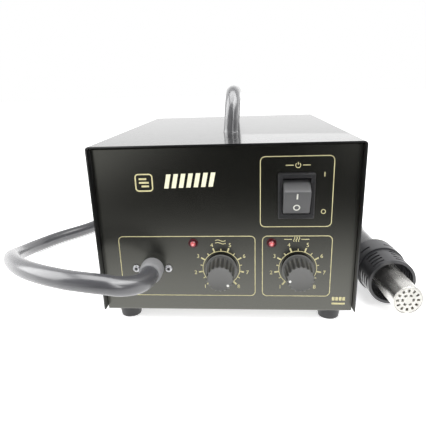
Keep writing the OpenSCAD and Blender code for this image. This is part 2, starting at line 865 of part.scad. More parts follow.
module knob(x, dot_angle) {
  base_z = knob_clear + knob_skirt_t;
  lean = atan((knob_base_d - knob_face_d) / 2 / (knob_reach - base_z));
  edge = 0.5;
  on_front(x, dial_z) difference() {
    rotate_extrude($fn = 72) polygon([
      [0, knob_clear], [knob_skirt_d / 2, knob_clear], [knob_skirt_d / 2, base_z - edge],
      [knob_skirt_d / 2 - edge, base_z], [knob_base_d / 2, base_z],
      [knob_face_d / 2, knob_reach - edge], [knob_face_d / 2 - edge, knob_reach], [0, knob_reach]
    ]);
    cylinder(d = knob_hollow_d, h = knob_clear + knob_hollow_h);
    intersection() {
      cylinder(d = spindle_d + 2 * fit_gap, h = knob_reach - knob_bore_end);
      translate([-spindle_d, -spindle_d, 0])
        cube([2 * spindle_d, 1.5 * spindle_d - spindle_flat + fit_gap, knob_reach]);
    }
    for (i = [0 : knob_grooves - 1])
      rotate(i * 360 / knob_grooves) translate([knob_base_d / 2 + knob_groove_r * 0.45, 0, base_z + 0.6])
        rotate([0, -lean, 0]) cylinder(r = knob_groove_r, h = knob_reach, $fn = 24);
    rotate(-dot_angle) translate([0, knob_dot_r, knob_reach - knob_dot_depth])
      cylinder(d = knob_dot_d, h = knob_dot_depth + over, $fn = 24);
  }
}

module air_knob() { color([0.06, 0.06, 0.06]) place() knob(air_x, air_setting); }

module heater_knob() { color([0.06, 0.06, 0.06]) place() knob(heater_x, heater_setting); }

module spindle(x) {
  tip = knob_reach - knob_bore_end - spindle_end_gap;
  on_front(x, dial_z) difference() {
    translate([0, 0, -sheet_t - spindle_depth]) cylinder(d = spindle_d, h = tip + sheet_t + spindle_depth);
    translate([-spindle_d, spindle_d / 2 - spindle_flat, knob_clear + knob_hollow_h - 1])
      cube([2 * spindle_d, spindle_d, knob_reach]);
  }
}

module air_spindle() { color([0.75, 0.75, 0.76]) place() spindle(air_x); }

module heater_spindle() { color([0.75, 0.75, 0.76]) place() spindle(heater_x); }

module control(x) {
  on_front(x, dial_z) translate([0, 0, -sheet_t]) difference() {
    union() {
      translate([0, 0, -control_len]) cylinder(d = control_d, h = control_len);
      cylinder(d = bushing_d, h = bushing_len);
      for (i = [-1, 0, 1])
        translate([i * 5 - 0.6, -control_d / 2 - 6, -control_len / 2 - 0.4]) cube([1.2, 8, 0.8]);
    }
    translate([0, 0, -spindle_depth - spindle_end_gap])
      cylinder(d = spindle_d + 2 * turn_gap, h = bushing_len + spindle_depth + over);
  }
}

module air_control() { color([0.55, 0.56, 0.5]) place() control(air_x); }

module heater_control() { color([0.55, 0.56, 0.5]) place() control(heater_x); }

module control_nuts() {
  color([0.78, 0.78, 0.8]) place() for (x = [air_x, heater_x])
    on_front(x, dial_z) hex_nut(control_nut_af, control_nut_t, bushing_d);
}

// Front panel: lamps and hose outlet

module lamp_lenses() {
  color([0.75, 0.05, 0.05]) place() for (x = [air_lamp_x, heater_lamp_x]) on_front(x, lamp_z) {
    translate([0, 0, -lamp_depth]) cylinder(d = lamp_d, h = lamp_depth + lamp_ring_t);
    translate([0, 0, lamp_ring_t]) intersection() {
      sphere(d = lamp_d);
      cylinder(d = lamp_d, h = lamp_d);
    }
    translate([0, 0, -lamp_depth - lamp_base_t]) cylinder(d = lamp_base_d, h = lamp_base_t);
    for (side = [-1, 1])
      translate([side * lamp_leg_r, 0, -lamp_depth - lamp_base_t - lamp_leg_len])
        cylinder(d = lamp_leg_d, h = lamp_leg_len, $fn = 16);
  }
}

module lamp_rings() {
  color([0.08, 0.08, 0.08]) place() for (x = [air_lamp_x, heater_lamp_x]) on_front(x, lamp_z)
    rotate_extrude() difference() {
      union() {
        translate([0, -lamp_depth]) square([lamp_base_d / 2, lamp_depth]);
        square([lamp_ring_d / 2, lamp_ring_t * 0.7]);
        square([lamp_ring_d / 2 - 0.3, lamp_ring_t]);
      }
      translate([0, -lamp_depth - over]) square([lamp_d / 2 + lamp_body_gap, lamp_depth + 3 * over]);
    }
}

module hose_outlet() {
  lip = outlet_d / 2 - outlet_front_d / 2;
  color([0.12, 0.12, 0.12]) place() on_front(outlet_x, outlet_z) difference() {
    union() {
      rotate_extrude() polygon(concat(
        [[0, 0], [outlet_d / 2, 0], [outlet_d / 2, outlet_reach - outlet_lip_h]],
        [for (a = [15 : 15 : 90]) [
          outlet_front_d / 2 + lip * cos(a), outlet_reach - outlet_lip_h + outlet_lip_h * sin(a)]],
        [[0, outlet_reach]]
      ));
      translate([0, 0, -sheet_t]) cylinder(d = outlet_d - 2 - 2 * fit_gap, h = sheet_t);
      translate([0, 0, -sheet_t - outlet_flange_t]) linear_extrude(outlet_flange_t)
        rounded(outlet_flange_w, outlet_flange_h, 4);
      translate([0, 0, -sheet_t - outlet_flange_t - outlet_tail_len])
        cylinder(d = outlet_tail_d, h = outlet_tail_len);
    }
    translate([0, 0, -sheet_t - outlet_flange_t - outlet_tail_len - over])
      cylinder(d = outlet_tail_d / 2, h = outlet_tail_len + outlet_reach);
    for (side = [-1, 1]) translate([side * outlet_screw_span / 2, 0, -sheet_t - outlet_flange_t - over])
      cylinder(d = outlet_screw_d + 2 * screw_gap, h = outlet_flange_t + over);
  }
}

module outlet_screws() {
  len = sheet_t + outlet_flange_t + outlet_nut_t + 1;
  color([0.8, 0.8, 0.82]) place() for (side = [-1, 1])
    on_front(outlet_x + side * outlet_screw_span / 2, outlet_z) {
      difference() {
        dome_screw(outlet_screw_d, len, outlet_screw_head_d, outlet_screw_head_t);
        translate([0, 0, outlet_screw_head_t - 1]) cylinder(d = 2.3, h = 2, $fn = 6);
      }
      translate([0, 0, -sheet_t - outlet_flange_t - outlet_nut_t])
        hex_nut(outlet_nut_af, outlet_nut_t, outlet_screw_d);
    }
}

module air_hose() {
  line = concat([hose_start], smooth_line(hose_points, hose_steps), [hose_end]);
  color([0.1, 0.1, 0.1]) place() swept_tube(line, hose_d, hose_sides, [0, 0, 1]);
}

// Air pump: an armature swings between two electromagnets and works a diaphragm at each end

module at_pump(z) { translate([pump_x, pump_y, z]) children(); }

module pump_mount_places() {
  at_pump(0) for (x = [-1, 1], y = [-1, 1])
    translate([x * (pump_plate_w / 2 - pump_mount_inset), y * (pump_half - pump_mount_inset)]) children();
}

module pump_mounts() {
  color([0.08, 0.08, 0.08]) place() pump_mount_places() {
    translate([0, 0, floor_top]) cylinder(d = pump_mount_d, h = pump_mount_h);
    translate([0, 0, foot_h - 2]) cylinder(d = pump_mount_screw_d, h = sheet_t + 3);
    translate([0, 0, pump_plate_z - 1]) cylinder(d = pump_mount_screw_d, h = pump_plate_t + 3);
    translate([0, 0, foot_h - 2]) cylinder(d = pump_mount_d - 5, h = 2);
  }
}

module pump_frame() {
  cradle_x = armature_t / 2 + pole_gap + core_leg_len;
  color([0.5, 0.52, 0.53]) place() difference() {
    at_pump(0) {
      translate([0, 0, pump_plate_z]) linear_extrude(pump_plate_t) rounded(pump_plate_w, 2 * pump_half, 4);
      for (side = [-1, 1]) {
        translate([side * (cradle_x + core_back / 2), 0, (pump_plate_top + armature_z - core_h / 2) / 2])
          cube([core_back, core_w, armature_z - core_h / 2 - pump_plate_top], center = true);
        translate([-pump_end_w / 2, side * (pump_end_wall + pump_end_t / 2) - pump_end_t / 2, pump_plate_top])
          cube([pump_end_w, pump_end_t, armature_z + head_w / 2 - pump_plate_top]);
      }
    }
    at_pump(armature_z) rotate([90, 0, 0])
      cylinder(d = diaphragm_window_d, h = 2 * pump_half, center = true);
    head_screw_places() translate([0, 0, -head_len - 20])
      cylinder(d = head_screw_d + 2 * screw_gap, h = head_len + 20);
    translate([0, 0, pump_plate_z - over]) linear_extrude(pump_plate_t + 2 * over)
      pump_mount_places() circle(d = pump_mount_screw_d + 2 * screw_gap);
  }
}

module pump_cores() {
  start = armature_t / 2 + pole_gap;
  window = (core_w - core_middle_leg - 2 * core_side_leg) / 2;
  color([0.45, 0.46, 0.48]) place() at_pump(armature_z - core_h / 2) for (side = [0, 180]) rotate(side)
    translate([start, 0, 0]) linear_extrude(core_h) difference() {
      translate([0, -core_w / 2]) square([core_leg_len + core_back, core_w]);
      for (y = [-1, 1])
        translate([-over, y * (core_middle_leg + window) / 2 - window / 2])
          square([core_leg_len + over, window]);
    }
}

module pump_coils() {
  start = armature_t / 2 + pole_gap + 0.5;
  inner_w = core_middle_leg + 2 * coil_gap;
  inner_h = core_h + 2 * coil_gap;
  color([0.6, 0.3, 0.12]) place() at_pump(armature_z) for (side = [0, 180]) rotate(side)
    translate([start, 0, 0]) rotate([90, 0, 90]) linear_extrude(core_leg_len - 0.5) difference() {
      rounded(inner_w + 2 * coil_t, inner_h + 2 * coil_t, 4);
      square([inner_w, inner_h], center = true);
    }
}

module pump_armature() {
  reach = pump_end_wall + pump_end_t;
  color([0.35, 0.36, 0.38]) place() at_pump(armature_z) {
    cube([armature_t, armature_len, armature_h], center = true);
    rotate([90, 0, 0])
      cylinder(d = armature_rod_d, h = 2 * (reach + diaphragm_t + clamp_t + 1.2), center = true);
    for (side = [-1, 1]) rotate([side * 90, 0, 0]) {
      translate([0, 0, reach - clamp_t]) cylinder(d = clamp_d, h = clamp_t);
      translate([0, 0, reach + diaphragm_t]) cylinder(d = clamp_d, h = clamp_t);
    }
  }
}

module pump_diaphragms() {
  color([0.1, 0.1, 0.1]) place() at_pump(armature_z) for (side = [-1, 1]) rotate([side * 90, 0, 0])
    translate([0, 0, pump_end_wall + pump_end_t]) difference() {
      cylinder(d = diaphragm_d, h = diaphragm_t);
      translate([0, 0, -over]) cylinder(d = armature_rod_d + 2 * fit_gap, h = diaphragm_t + 2 * over);
    }
}

module pump_heads() {
  color([0.75, 0.76, 0.76]) place() difference() {
    at_pump(armature_z) for (side = [-1, 1]) {
      translate([0, side * (pump_half - head_len / 2), 0]) cube([head_w, head_len, head_w], center = true);
      for (x = [-1, 1]) translate([x * barb_x, side * barb_y, head_w / 2]) {
        cylinder(d = barb_d, h = barb_h);
        translate([0, 0, barb_h * 0.4]) cylinder(d1 = barb_d + 1.2, d2 = barb_d, h = barb_h * 0.4);
      }
    }
    at_pump(armature_z) {
      for (side = [-1, 1]) rotate([side * 90, 0, 0])
        translate([0, 0, pump_half - head_len - over]) cylinder(d = head_cavity_d, h = head_cavity_h + over);
      for (side = [-1, 1], x = [-1, 1]) translate([x * barb_x, side * barb_y, 0])
        cylinder(d = barb_bore, h = head_w);
    }
    head_screw_places() translate([0, 0, -head_len - over])
      cylinder(d = head_screw_d + 2 * screw_gap, h = head_len + 2 * over);
  }
}

// The places of the head screws: z points out of the end of the pump
module head_screw_places() {
  for (side = [0, 180], x = [-1, 1], z = [-1, 1])
    translate([pump_x, pump_y, armature_z]) rotate([90, 0, side])
      translate([x * head_screw_r, z * head_screw_r, pump_half]) children();
}

module head_screws() {
  color([0.72, 0.72, 0.74]) place() head_screw_places() difference() {
    union() {
      translate([0, 0, -head_len - diaphragm_t - pump_end_t - 3])
        cylinder(d = head_screw_d, h = head_len + diaphragm_t + pump_end_t + 3);
      cylinder(d = head_screw_head_d, h = head_screw_head_t);
    }
    translate([0, 0, 0.6]) cylinder(d = 2.5 / cos(30), h = head_screw_head_t, $fn = 6);
  }
}

// A bend of a round tube from +x (at its start) through the given angle about z
module tube_bend(r, angle, d) {
  rotate_extrude(angle = angle) translate([r, 0]) circle(d = d);
}

module air_tubes() {
  front_barb = pump_y - barb_y;
  leg_y = front_y + sheet_t + outlet_flange_t + outlet_tail_len + tube_bend_r;
  u_r = (front_barb - leg_y) / 2;
  run = 2 * barb_y - 2 * tube_bend_r;
  color([0.75, 0.76, 0.7]) place() {
    // From the front head over and down to the outlet's tail
    translate([outlet_x, 0, 0]) {
      translate([0, leg_y + u_r, barb_top]) rotate([90, 0, 90]) tube_bend(u_r, 180, tube_d);
      translate([0, leg_y, outlet_z + tube_bend_r])
        cylinder(d = tube_d, h = barb_top - outlet_z - tube_bend_r);
      translate([0, leg_y - tube_bend_r, outlet_z + tube_bend_r]) rotate([90, 0, 90]) rotate(-90)
        tube_bend(tube_bend_r, 90, tube_d);
    }
    // From the rear head along the top to the front head
    translate([pump_x + barb_x, pump_y, barb_top]) {
      translate([0, barb_y - tube_bend_r, 0]) rotate([90, 0, 90]) tube_bend(tube_bend_r, 90, tube_d);
      translate([0, -run / 2, tube_bend_r]) rotate([-90, 0, 0]) cylinder(d = tube_d, h = run);
      translate([0, tube_bend_r - barb_y, 0]) rotate([90, 0, 90]) rotate(90)
        tube_bend(tube_bend_r, 90, tube_d);
    }
  }
}

// Transformer

module transformer_core() {
  color([0.4, 0.41, 0.43]) place() translate([trafo_x, trafo_y + trafo_stack / 2, floor_top])
    rotate([90, 0, 0]) linear_extrude(trafo_stack) difference() {
      translate([-trafo_w / 2, 0]) square([trafo_w, trafo_h]);
      for (side = [-1, 1])
        translate([side * (trafo_leg + window_w()) / 2 - window_w() / 2, yoke])
          square([window_w(), trafo_h - 2 * yoke]);
    }
}

function window_w() = (trafo_w - 2 * yoke - trafo_leg) / 2;

module transformer_winding() {
  inner_w = trafo_leg + 2 * winding_gap;
  inner_d = trafo_stack + 2 * winding_gap;
  color([0.85, 0.7, 0.2]) place() translate([trafo_x, trafo_y, floor_top + yoke])
    linear_extrude(trafo_h - 2 * yoke) difference() {
      rounded(inner_w + 2 * (window_w() - 2 * winding_gap), inner_d + 2 * winding_wall, 4);
      square([inner_w, inner_d], center = true);
    }
}

module strap_screw_places() {
  for (side = [-1, 1])
    translate([trafo_x + side * (trafo_w / 2 + strap_t + strap_foot / 2 + 0.5), trafo_y]) children();
}

module transformer_strap() {
  half = trafo_w / 2;
  color([0.66, 0.67, 0.7]) place() difference() {
    translate([trafo_x, trafo_y + strap_w / 2, floor_top]) rotate([90, 0, 0]) linear_extrude(strap_w) {
      translate([-half - strap_t, trafo_h]) square([trafo_w + 2 * strap_t, strap_t]);
      for (side = [-1, 1]) {
        translate([side * (half + strap_t / 2) - strap_t / 2, 0]) square([strap_t, trafo_h]);
        translate([side * (half + strap_t + strap_foot / 2) - strap_foot / 2, 0])
          square([strap_foot, strap_t]);
      }
    }
    translate([0, 0, floor_top - over]) strap_screw_places()
      cylinder(d = strap_screw_d + 2 * screw_gap, h = strap_t + 2 * over);
  }
}

module transformer_screws() {
  color([0.72, 0.72, 0.74]) place() translate([0, 0, floor_top + strap_t]) strap_screw_places()
    dome_screw(strap_screw_d, strap_t + sheet_t + 4, strap_screw_head_d, strap_screw_head_t);
}

// Control board

module post_places() {
  translate([board_x, board_y]) for (x = [-1, 1], y = [-1, 1])
    translate([x * (board_w / 2 - board_inset), y * (board_d / 2 - board_inset)]) children();
}

module control_board() {
  color([0.1, 0.35, 0.15]) place() difference() {
    translate([board_x, board_y, board_bottom]) linear_extrude(board_t)
      square([board_w, board_d], center = true);
    translate([0, 0, board_bottom - over]) post_places()
      cylinder(d = post_screw_d + 2 * screw_gap, h = board_t + 2 * over);
  }
}

module board_posts() {
  color([0.8, 0.7, 0.4]) place() post_places() translate([0, 0, floor_top])
    hex_nut(post_af, post_h, post_screw_d + 2 * screw_gap);
}

module board_screws() {
  color([0.72, 0.72, 0.74]) place() post_places() {
    translate([0, 0, board_top])
      dome_screw(post_screw_d, board_t + 4.5, board_screw_head_d, board_screw_head_t);
    translate([0, 0, foot_h]) rotate([180, 0, 0])
      dome_screw(post_screw_d, sheet_t + 4.5, board_screw_head_d, board_screw_head_t);
  }
}

module heat_sink() {
  color([0.7, 0.71, 0.73]) place() translate([board_x, board_y + sink_y, board_top]) linear_extrude(sink_h) {
    translate([-sink_w / 2, -sink_base]) square([sink_w, sink_base]);
    for (i = [0 : sink_fins - 1])
      translate([-sink_w / 2 + i * (sink_w - sink_fin_t) / (sink_fins - 1), 0])
        square([sink_fin_t, sink_d - sink_base]);
  }
}

module triac() {
  color([0.1, 0.1, 0.1]) place() translate([board_x, board_y + sink_y - sink_base, board_top]) {
    translate([-triac_w / 2, -triac_t, triac_lift]) cube([triac_w, triac_t, triac_h]);
    for (i = [-1, 0, 1]) translate([i * 2.54 - 0.4, -triac_t / 2 - 0.3, 0]) cube([0.8, 0.6, triac_lift + 1]);
  }
}

module capacitors() {
  color([0.15, 0.2, 0.45]) place() for (c = capacitor_list)
    translate([board_x + c[0], board_y + c[1], board_top]) cylinder(d = c[2], h = c[3]);
}

module terminal_blocks() {
  color([0.2, 0.45, 0.25]) place() for (side = [-1, 1])
    translate([board_x + side * block_x, board_y - board_d / 2 + block_y, board_top]) difference() {
      translate([-block_w / 2, -block_d / 2, 0]) cube([block_w, block_d, block_h]);
      for (i = [-1, 0, 1]) translate([i * block_w / 3, 0, 0]) {
        translate([0, 0, block_h - 2]) cylinder(d = 3.4, h = 3);
        translate([-1.5, -block_d / 2 - over, 2]) cube([3, 4 + over, 4]);
      }
    }
}

// Rear panel

module power_inlet() {
  body_r = 3;
  color([0.05, 0.05, 0.05]) place() on_rear(inlet_x, inlet_z) difference() {
    union() {
      linear_extrude(inlet_flange_t) rounded(inlet_flange_w, inlet_flange_h, 4);
      translate([0, 0, -inlet_depth / 2]) cube([inlet_body_w, inlet_body_h, inlet_depth], center = true);
    }
    translate([0, 0, inlet_flange_t - inlet_cavity_depth]) linear_extrude(inlet_cavity_depth + over)
      polygon([for (p = inlet_outline) [p[0] * inlet_cavity_w / 2, p[1] * inlet_cavity_h / 2]]);
    for (side = [-1, 1]) translate([side * inlet_screw_span / 2, 0, -over])
      cylinder(d = inlet_screw_d + 2 * screw_gap, h = inlet_flange_t + 2 * over);
    inlet_pin_places() cube([pin_w + 2 * fit_gap, pin_h + 2 * fit_gap, 3 * inlet_depth], center = true);
  }
}

module inlet_pin_places() {
  for (p = [[-pin_pitch / 2, -pin_drop], [0, pin_drop], [pin_pitch / 2, -pin_drop]])
    translate([p[0], p[1], 0]) children();
}

module inlet_pins() {
  floor_z = inlet_flange_t - inlet_cavity_depth;
  color([0.82, 0.82, 0.84]) place() on_rear(inlet_x, inlet_z) inlet_pin_places() {
    translate([-pin_w / 2, -pin_h / 2, -inlet_depth - pin_tail])
      cube([pin_w, pin_h, pin_len + floor_z + inlet_depth + pin_tail]);
    translate([-pin_w, -pin_h * 0.75, -inlet_depth - 0.8]) cube([2 * pin_w, pin_h * 1.5, 0.8]);
  }
}

module inlet_screws() {
  color([0.12, 0.12, 0.12]) place() for (side = [-1, 1])
    on_rear(inlet_x + side * inlet_screw_span / 2, inlet_z) translate([0, 0, inlet_flange_t])
      dome_screw(inlet_screw_d, inlet_flange_t + sheet_t + 4, inlet_screw_head_d, inlet_screw_head_t);
}

module fuse_holder() {
  color([0.06, 0.06, 0.06]) place() on_rear(fuse_x, fuse_z) difference() {
    union() {
      cylinder(d = fuse_flange_d, h = fuse_flange_t);
      translate([0, 0, -fuse_body_len]) cylinder(d = fuse_body_d, h = fuse_body_len);
      translate([0, 0, -sheet_t - 3]) cylinder(d = fuse_flange_d - 1, h = 3);
    }
    translate([0, 0, fuse_flange_t - fuse_bore_len]) cylinder(d = fuse_bore_d, h = fuse_bore_len + over);
  }
}

module fuse_cap() {
  cap_h = fuse_reach - fuse_flange_t - turn_gap;
  color([0.07, 0.07, 0.07]) place() on_rear(fuse_x, fuse_z) translate([0, 0, fuse_flange_t]) difference() {
    union() {
      translate([0, 0, turn_gap]) cylinder(d = fuse_cap_d - 2, h = cap_h);
      translate([0, 0, turn_gap]) cylinder(d = fuse_cap_d, h = cap_h - 1.5);
      translate([0, 0, -fuse_cap_stem_len]) cylinder(d = fuse_cap_stem_d, h = fuse_cap_stem_len + 1);
    }
    translate([0, 0, -fuse_cap_stem_len - over]) cylinder(d = fuse_d + 2 * fit_gap, h = fuse_cup + over);
    translate([-fuse_cap_d, -0.75, cap_h - 1]) cube([2 * fuse_cap_d, 1.5, 2]);
  }
}

module fuse() {
  color([0.85, 0.87, 0.88]) place() on_rear(fuse_x, fuse_z)
    translate([0, 0, fuse_flange_t - fuse_cap_stem_len + fuse_cup - fuse_len])
      cylinder(d = fuse_d, h = fuse_len);
}

module mains_leads() {
  color([0.5, 0.2, 0.12]) place() for (side = [-1, 1])
    swept_tube(smooth_line(lead_points(side), lead_steps), lead_d, lead_sides, [1, 0, 0]);
}

// Hot air gun

module gun_pipe() {
  color([0.82, 0.82, 0.83]) place() along_gun() difference() {
    rotate_extrude() difference() {
      union() {
        square([pipe_d / 2, pipe_reach]);
        square([pipe_d / 2 - pipe_neck, pipe_end]);
        translate([0, pipe_end - pipe_flange_t]) square([pipe_flange_d / 2, pipe_flange_t]);
      }
      translate([0, -over]) square([pipe_d / 2 - pipe_wall, pipe_end + 2 * over]);
    }
    gun_screw_places(pipe_end - pipe_flange_t - over)
      cylinder(d = gun_screw_d + 2 * screw_gap, h = pipe_flange_t + 2 * over);
  }
}

module ring_slots(count, r_in, r_out, wid, angle, first) {
  for (i = [0 : count - 1]) rotate(first + i * 360 / count - angle / 2)
    rotate_extrude(angle = angle) translate([r_in, 0]) square([r_out - r_in, wid]);
}

module heater_disc() {
  color([0.93, 0.92, 0.88]) place() along_gun() translate([0, 0, disc_recess]) difference() {
    cylinder(d = pipe_d - 2 * pipe_wall - 2 * fit_gap, h = disc_t);
    for (i = [0 : disc_outer_holes - 1]) rotate(i * 360 / disc_outer_holes)
      translate([disc_outer_r, 0, 0]) cube([2.4, 1.5, 3 * disc_t], center = true);
    for (i = [0 : disc_inner_holes - 1]) rotate(i * 360 / disc_inner_holes)
      translate([disc_inner_r, 0, 0]) cube([1.5, 2.2, 3 * disc_t], center = true);
  }
}

module heater_former() {
  color([0.9, 0.88, 0.82]) place() along_gun() translate([0, 0, disc_recess + disc_t]) difference() {
    cylinder(d = former_d, h = former_len);
    for (i = [0 : former_bores - 1]) rotate(i * 360 / former_bores)
      translate([disc_inner_r, 0, -over]) cylinder(d = former_bore_d, h = former_len + 2 * over, $fn = 24);
  }
}

module heater_wire() {
  r = (former_d + wire_d) / 2 / cos(180 / wire_steps) + 0.05;
  line = [
    for (i = [0 : wire_turns * wire_steps])
      let (a = i * 360 / wire_steps)
      [r * cos(a), r * sin(a), disc_recess + disc_t + 4 + i * (former_len - 8) / (wire_turns * wire_steps)]
  ];
  color([0.7, 0.5, 0.35]) place() along_gun() swept_tube(line, wire_d, wire_sides, [0, 0, 1]);
}

module mica_sleeve() {
  outer = pipe_d / 2 - pipe_wall - fit_gap;
  color([0.75, 0.65, 0.45]) place() along_gun() translate([0, 0, disc_recess + disc_t])
    rotate_extrude() translate([outer - mica_t, 0]) square([mica_t, former_len]);
}

module gun_collar() {
  mouth_r = collar_mouth_d / 2;
  rear_r = collar_rear_d / 2;
  color([0.07, 0.07, 0.07]) place() along_gun() translate([0, 0, collar_start]) difference() {
    rotate_extrude($fn = 72) polygon([
      [mouth_r - collar_wall, 0], [mouth_r - 0.5, 0], [mouth_r, 0.5], [rear_r, collar_len],
      [pipe_d / 2 + assembly_gap, collar_len], [pipe_d / 2 + assembly_gap, collar_len - collar_floor_t],
      [mouth_r - collar_wall, collar_len - collar_floor_t]
    ]);
    for (row = [0 : collar_rows - 1])
      translate([0, 0, collar_slot_front + row * collar_slot_pitch - collar_slot_w / 2])
        ring_slots(collar_columns, mouth_r - 2 * collar_wall, rear_r + over, collar_slot_w, collar_slot_angle,
          gun_clock + collar_first_slot);
  }
}

module gun_guard() {
  r = guard_d / 2;
  edge = guard_edge;
  web = pipe_end - guard_start;
  color([0.08, 0.08, 0.08]) place() along_gun() translate([0, 0, guard_start]) difference() {
    rotate_extrude($fn = 72) polygon([
      [pipe_d / 2 + assembly_gap, 0], [r - edge, 0], [r, edge], [r, guard_len - edge], [r - edge, guard_len],
      [r - guard_wall - 2, guard_len], [r - guard_wall - 2, web + guard_web_t],
      [former_d / 2 + 1.5, web + guard_web_t], [former_d / 2 + 1.5, web],
      [r - guard_wall, web], [r - guard_wall, guard_wall], [pipe_d / 2 + assembly_gap, guard_wall]
    ]);
    translate([0, 0, web / 2 + guard_wall / 2 - guard_slot_w / 2])
      ring_slots(guard_slots, r - 2 * guard_wall, r + over, guard_slot_w, guard_slot_angle,
        gun_clock + guard_first_slot);
    gun_screw_places(0) cylinder(d = gun_screw_d + 2 * screw_gap, h = guard_len);
  }
}

module gun_screw_places(z) {
  for (i = [0 : 2]) rotate(30 + i * 120) translate([(pipe_d + pipe_flange_d) / 4, 0, z]) children();
}

module gun_screws() {
  color([0.72, 0.72, 0.74]) place() along_gun() gun_screw_places(pipe_end - pipe_flange_t)
    rotate([180, 0, 0])
      dome_screw(gun_screw_d, pipe_flange_t + guard_web_t + 1.5, gun_screw_head_d, gun_screw_head_t);
}

// The grip's radius at the distance s behind the guard ring: a waist, a swelling and a flared end
function swell(s, from, to, a, b) =
  a + (b - a) * (1 - cos(180 * min(1, max(0, (s - from) / (to - from))))) / 2;
function grip_r(s) =
  s < grip_waist_end ? swell(s, 0, grip_shoulder, guard_d / 2 - 3, waist_d / 2)
  : s < grip_palm_at ? swell(s, grip_waist_end, grip_palm_at, waist_d / 2, palm_d / 2)
  : swell(s, grip_palm_at, grip_len - grip_flare_end, palm_d / 2, butt_d / 2);

module gun_grip() {
  steps = 36;
  stations = [for (i = [0 : steps]) i * grip_len / steps];
  color([0.06, 0.06, 0.065]) place() along_gun() translate([0, 0, grip_start])
    rotate_extrude($fn = 72) polygon(concat(
      [for (s = stations) [grip_r(s), s]],
      [for (i = [steps : -1 : 0]) [grip_r(stations[i]) - grip_wall, stations[i]]]
    ));
}

module gun_tail() {
  r = butt_d / 2;
  color([0.07, 0.07, 0.07]) place() along_gun() translate([0, 0, tail_start])
    rotate_extrude($fn = 72) polygon([
    [boot_neck_d / 2 + fit_gap, 0], [r, 0], [r, tail_len * 0.3], [r - 1.5, tail_len * 0.65],
    [r - 5, tail_len * 0.92], [r - 8, tail_len], [boot_neck_d / 2 + fit_gap, tail_len]
  ]);
}

module gun_boot() {
  ribs = 5;
  pitch = boot_len / (ribs + 0.5);
  color([0.05, 0.05, 0.05]) place() along_gun() translate([0, 0, boot_start]) difference() {
    union() {
      cylinder(d1 = boot_front_d, d2 = boot_rear_d, h = boot_len);
      translate([0, 0, -tail_len - 2]) cylinder(d = boot_neck_d, h = tail_len + 2);
      translate([0, 0, -tail_len - 2]) cylinder(d = boot_front_d, h = 2);
    }
    for (i = [1 : ribs]) translate([0, 0, i * pitch - 1]) rotate_extrude()
      translate([boot_front_d / 2 - 2 - i * 0.35, 0]) square([6, 1.4]);
    translate([0, 0, -tail_len - 3]) cylinder(d = 7, h = tail_len + boot_len);
  }
}

chassis();
cover();
cover_screws();
rubber_feet();
foot_bolts();
carry_handle();
handle_screws();
switch_housing();
switch_rocker();
switch_terminals();
air_knob();
heater_knob();
air_spindle();
heater_spindle();
air_control();
heater_control();
control_nuts();
lamp_lenses();
lamp_rings();
hose_outlet();
outlet_screws();
air_hose();
pump_frame();
pump_cores();
pump_coils();
pump_armature();
pump_diaphragms();
pump_heads();
pump_mounts();
head_screws();
air_tubes();
transformer_core();
transformer_winding();
transformer_strap();
transformer_screws();
control_board();
board_posts();
board_screws();
heat_sink();
triac();
capacitors();
terminal_blocks();
power_inlet();
inlet_pins();
inlet_screws();
fuse_holder();
fuse_cap();
fuse();
mains_leads();
gun_pipe();
heater_disc();
heater_former();
heater_wire();
mica_sleeve();
gun_collar();
gun_guard();
gun_grip();
gun_tail();
gun_boot();
gun_screws();
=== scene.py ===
# %% [markdown]
# # Hot air rework station
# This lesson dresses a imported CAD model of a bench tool: a black sheet steel case with a pump inside,
# and a hot air gun on a rubber hose. The CAD model already has every piece in its place, so the work
# here is light, camera, finishes, and finer copies of the pieces that stand close to the eye.
# Everything is in metres, and the CAD model is loaded first as the frame that nothing may leave.

# %% Load the frame
import bpy
import bmesh
import math
from mathutils import Matrix, Vector


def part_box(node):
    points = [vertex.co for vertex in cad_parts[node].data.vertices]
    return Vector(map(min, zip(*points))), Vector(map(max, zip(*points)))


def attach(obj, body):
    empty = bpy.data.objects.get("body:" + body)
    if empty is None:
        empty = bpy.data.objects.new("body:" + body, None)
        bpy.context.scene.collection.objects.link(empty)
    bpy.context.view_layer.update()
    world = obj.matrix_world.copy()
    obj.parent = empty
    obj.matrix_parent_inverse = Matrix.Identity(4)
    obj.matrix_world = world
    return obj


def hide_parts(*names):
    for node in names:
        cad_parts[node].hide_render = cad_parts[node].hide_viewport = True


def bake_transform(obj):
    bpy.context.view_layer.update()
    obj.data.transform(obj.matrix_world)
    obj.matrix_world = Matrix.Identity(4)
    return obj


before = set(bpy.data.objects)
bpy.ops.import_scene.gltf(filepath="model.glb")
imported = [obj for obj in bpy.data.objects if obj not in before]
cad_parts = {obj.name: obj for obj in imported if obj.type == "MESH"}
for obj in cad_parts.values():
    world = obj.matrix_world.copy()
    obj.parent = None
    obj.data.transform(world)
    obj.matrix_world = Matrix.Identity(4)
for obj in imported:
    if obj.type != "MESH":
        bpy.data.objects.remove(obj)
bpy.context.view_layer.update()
MM = 0.001
cover_low, cover_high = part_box("cover")
CASE_W = 187.0
ORIGIN_X = -CASE_W / 2 - cover_low[0] / MM
ORIGIN_Y = -cover_low[1] / MM
CASE_TOP = cover_high[2] / MM
FRONT_Y = 6.0
print("case middle lies %.2f, %.2f mm from the model's origin" % (-ORIGIN_X, -ORIGIN_Y))

# %% [markdown]
# All places below are given in millimetres from the middle of the cover's front edge, with z = 0 on
# the table, because that is how the case was measured. One matrix brings them to the model's frame.

# %% Frames to build in
CASE = Matrix.Diagonal((MM, MM, MM, 1)) @ Matrix.Translation((-ORIGIN_X, -ORIGIN_Y, 0))
GUN_TIP = Vector((131.2, 3.0, 20.2))
GUN_TURN = 4
GUN_LEN = 225.5


def shift(x, y, z=0.0):
    return Matrix.Translation((x, y, z))


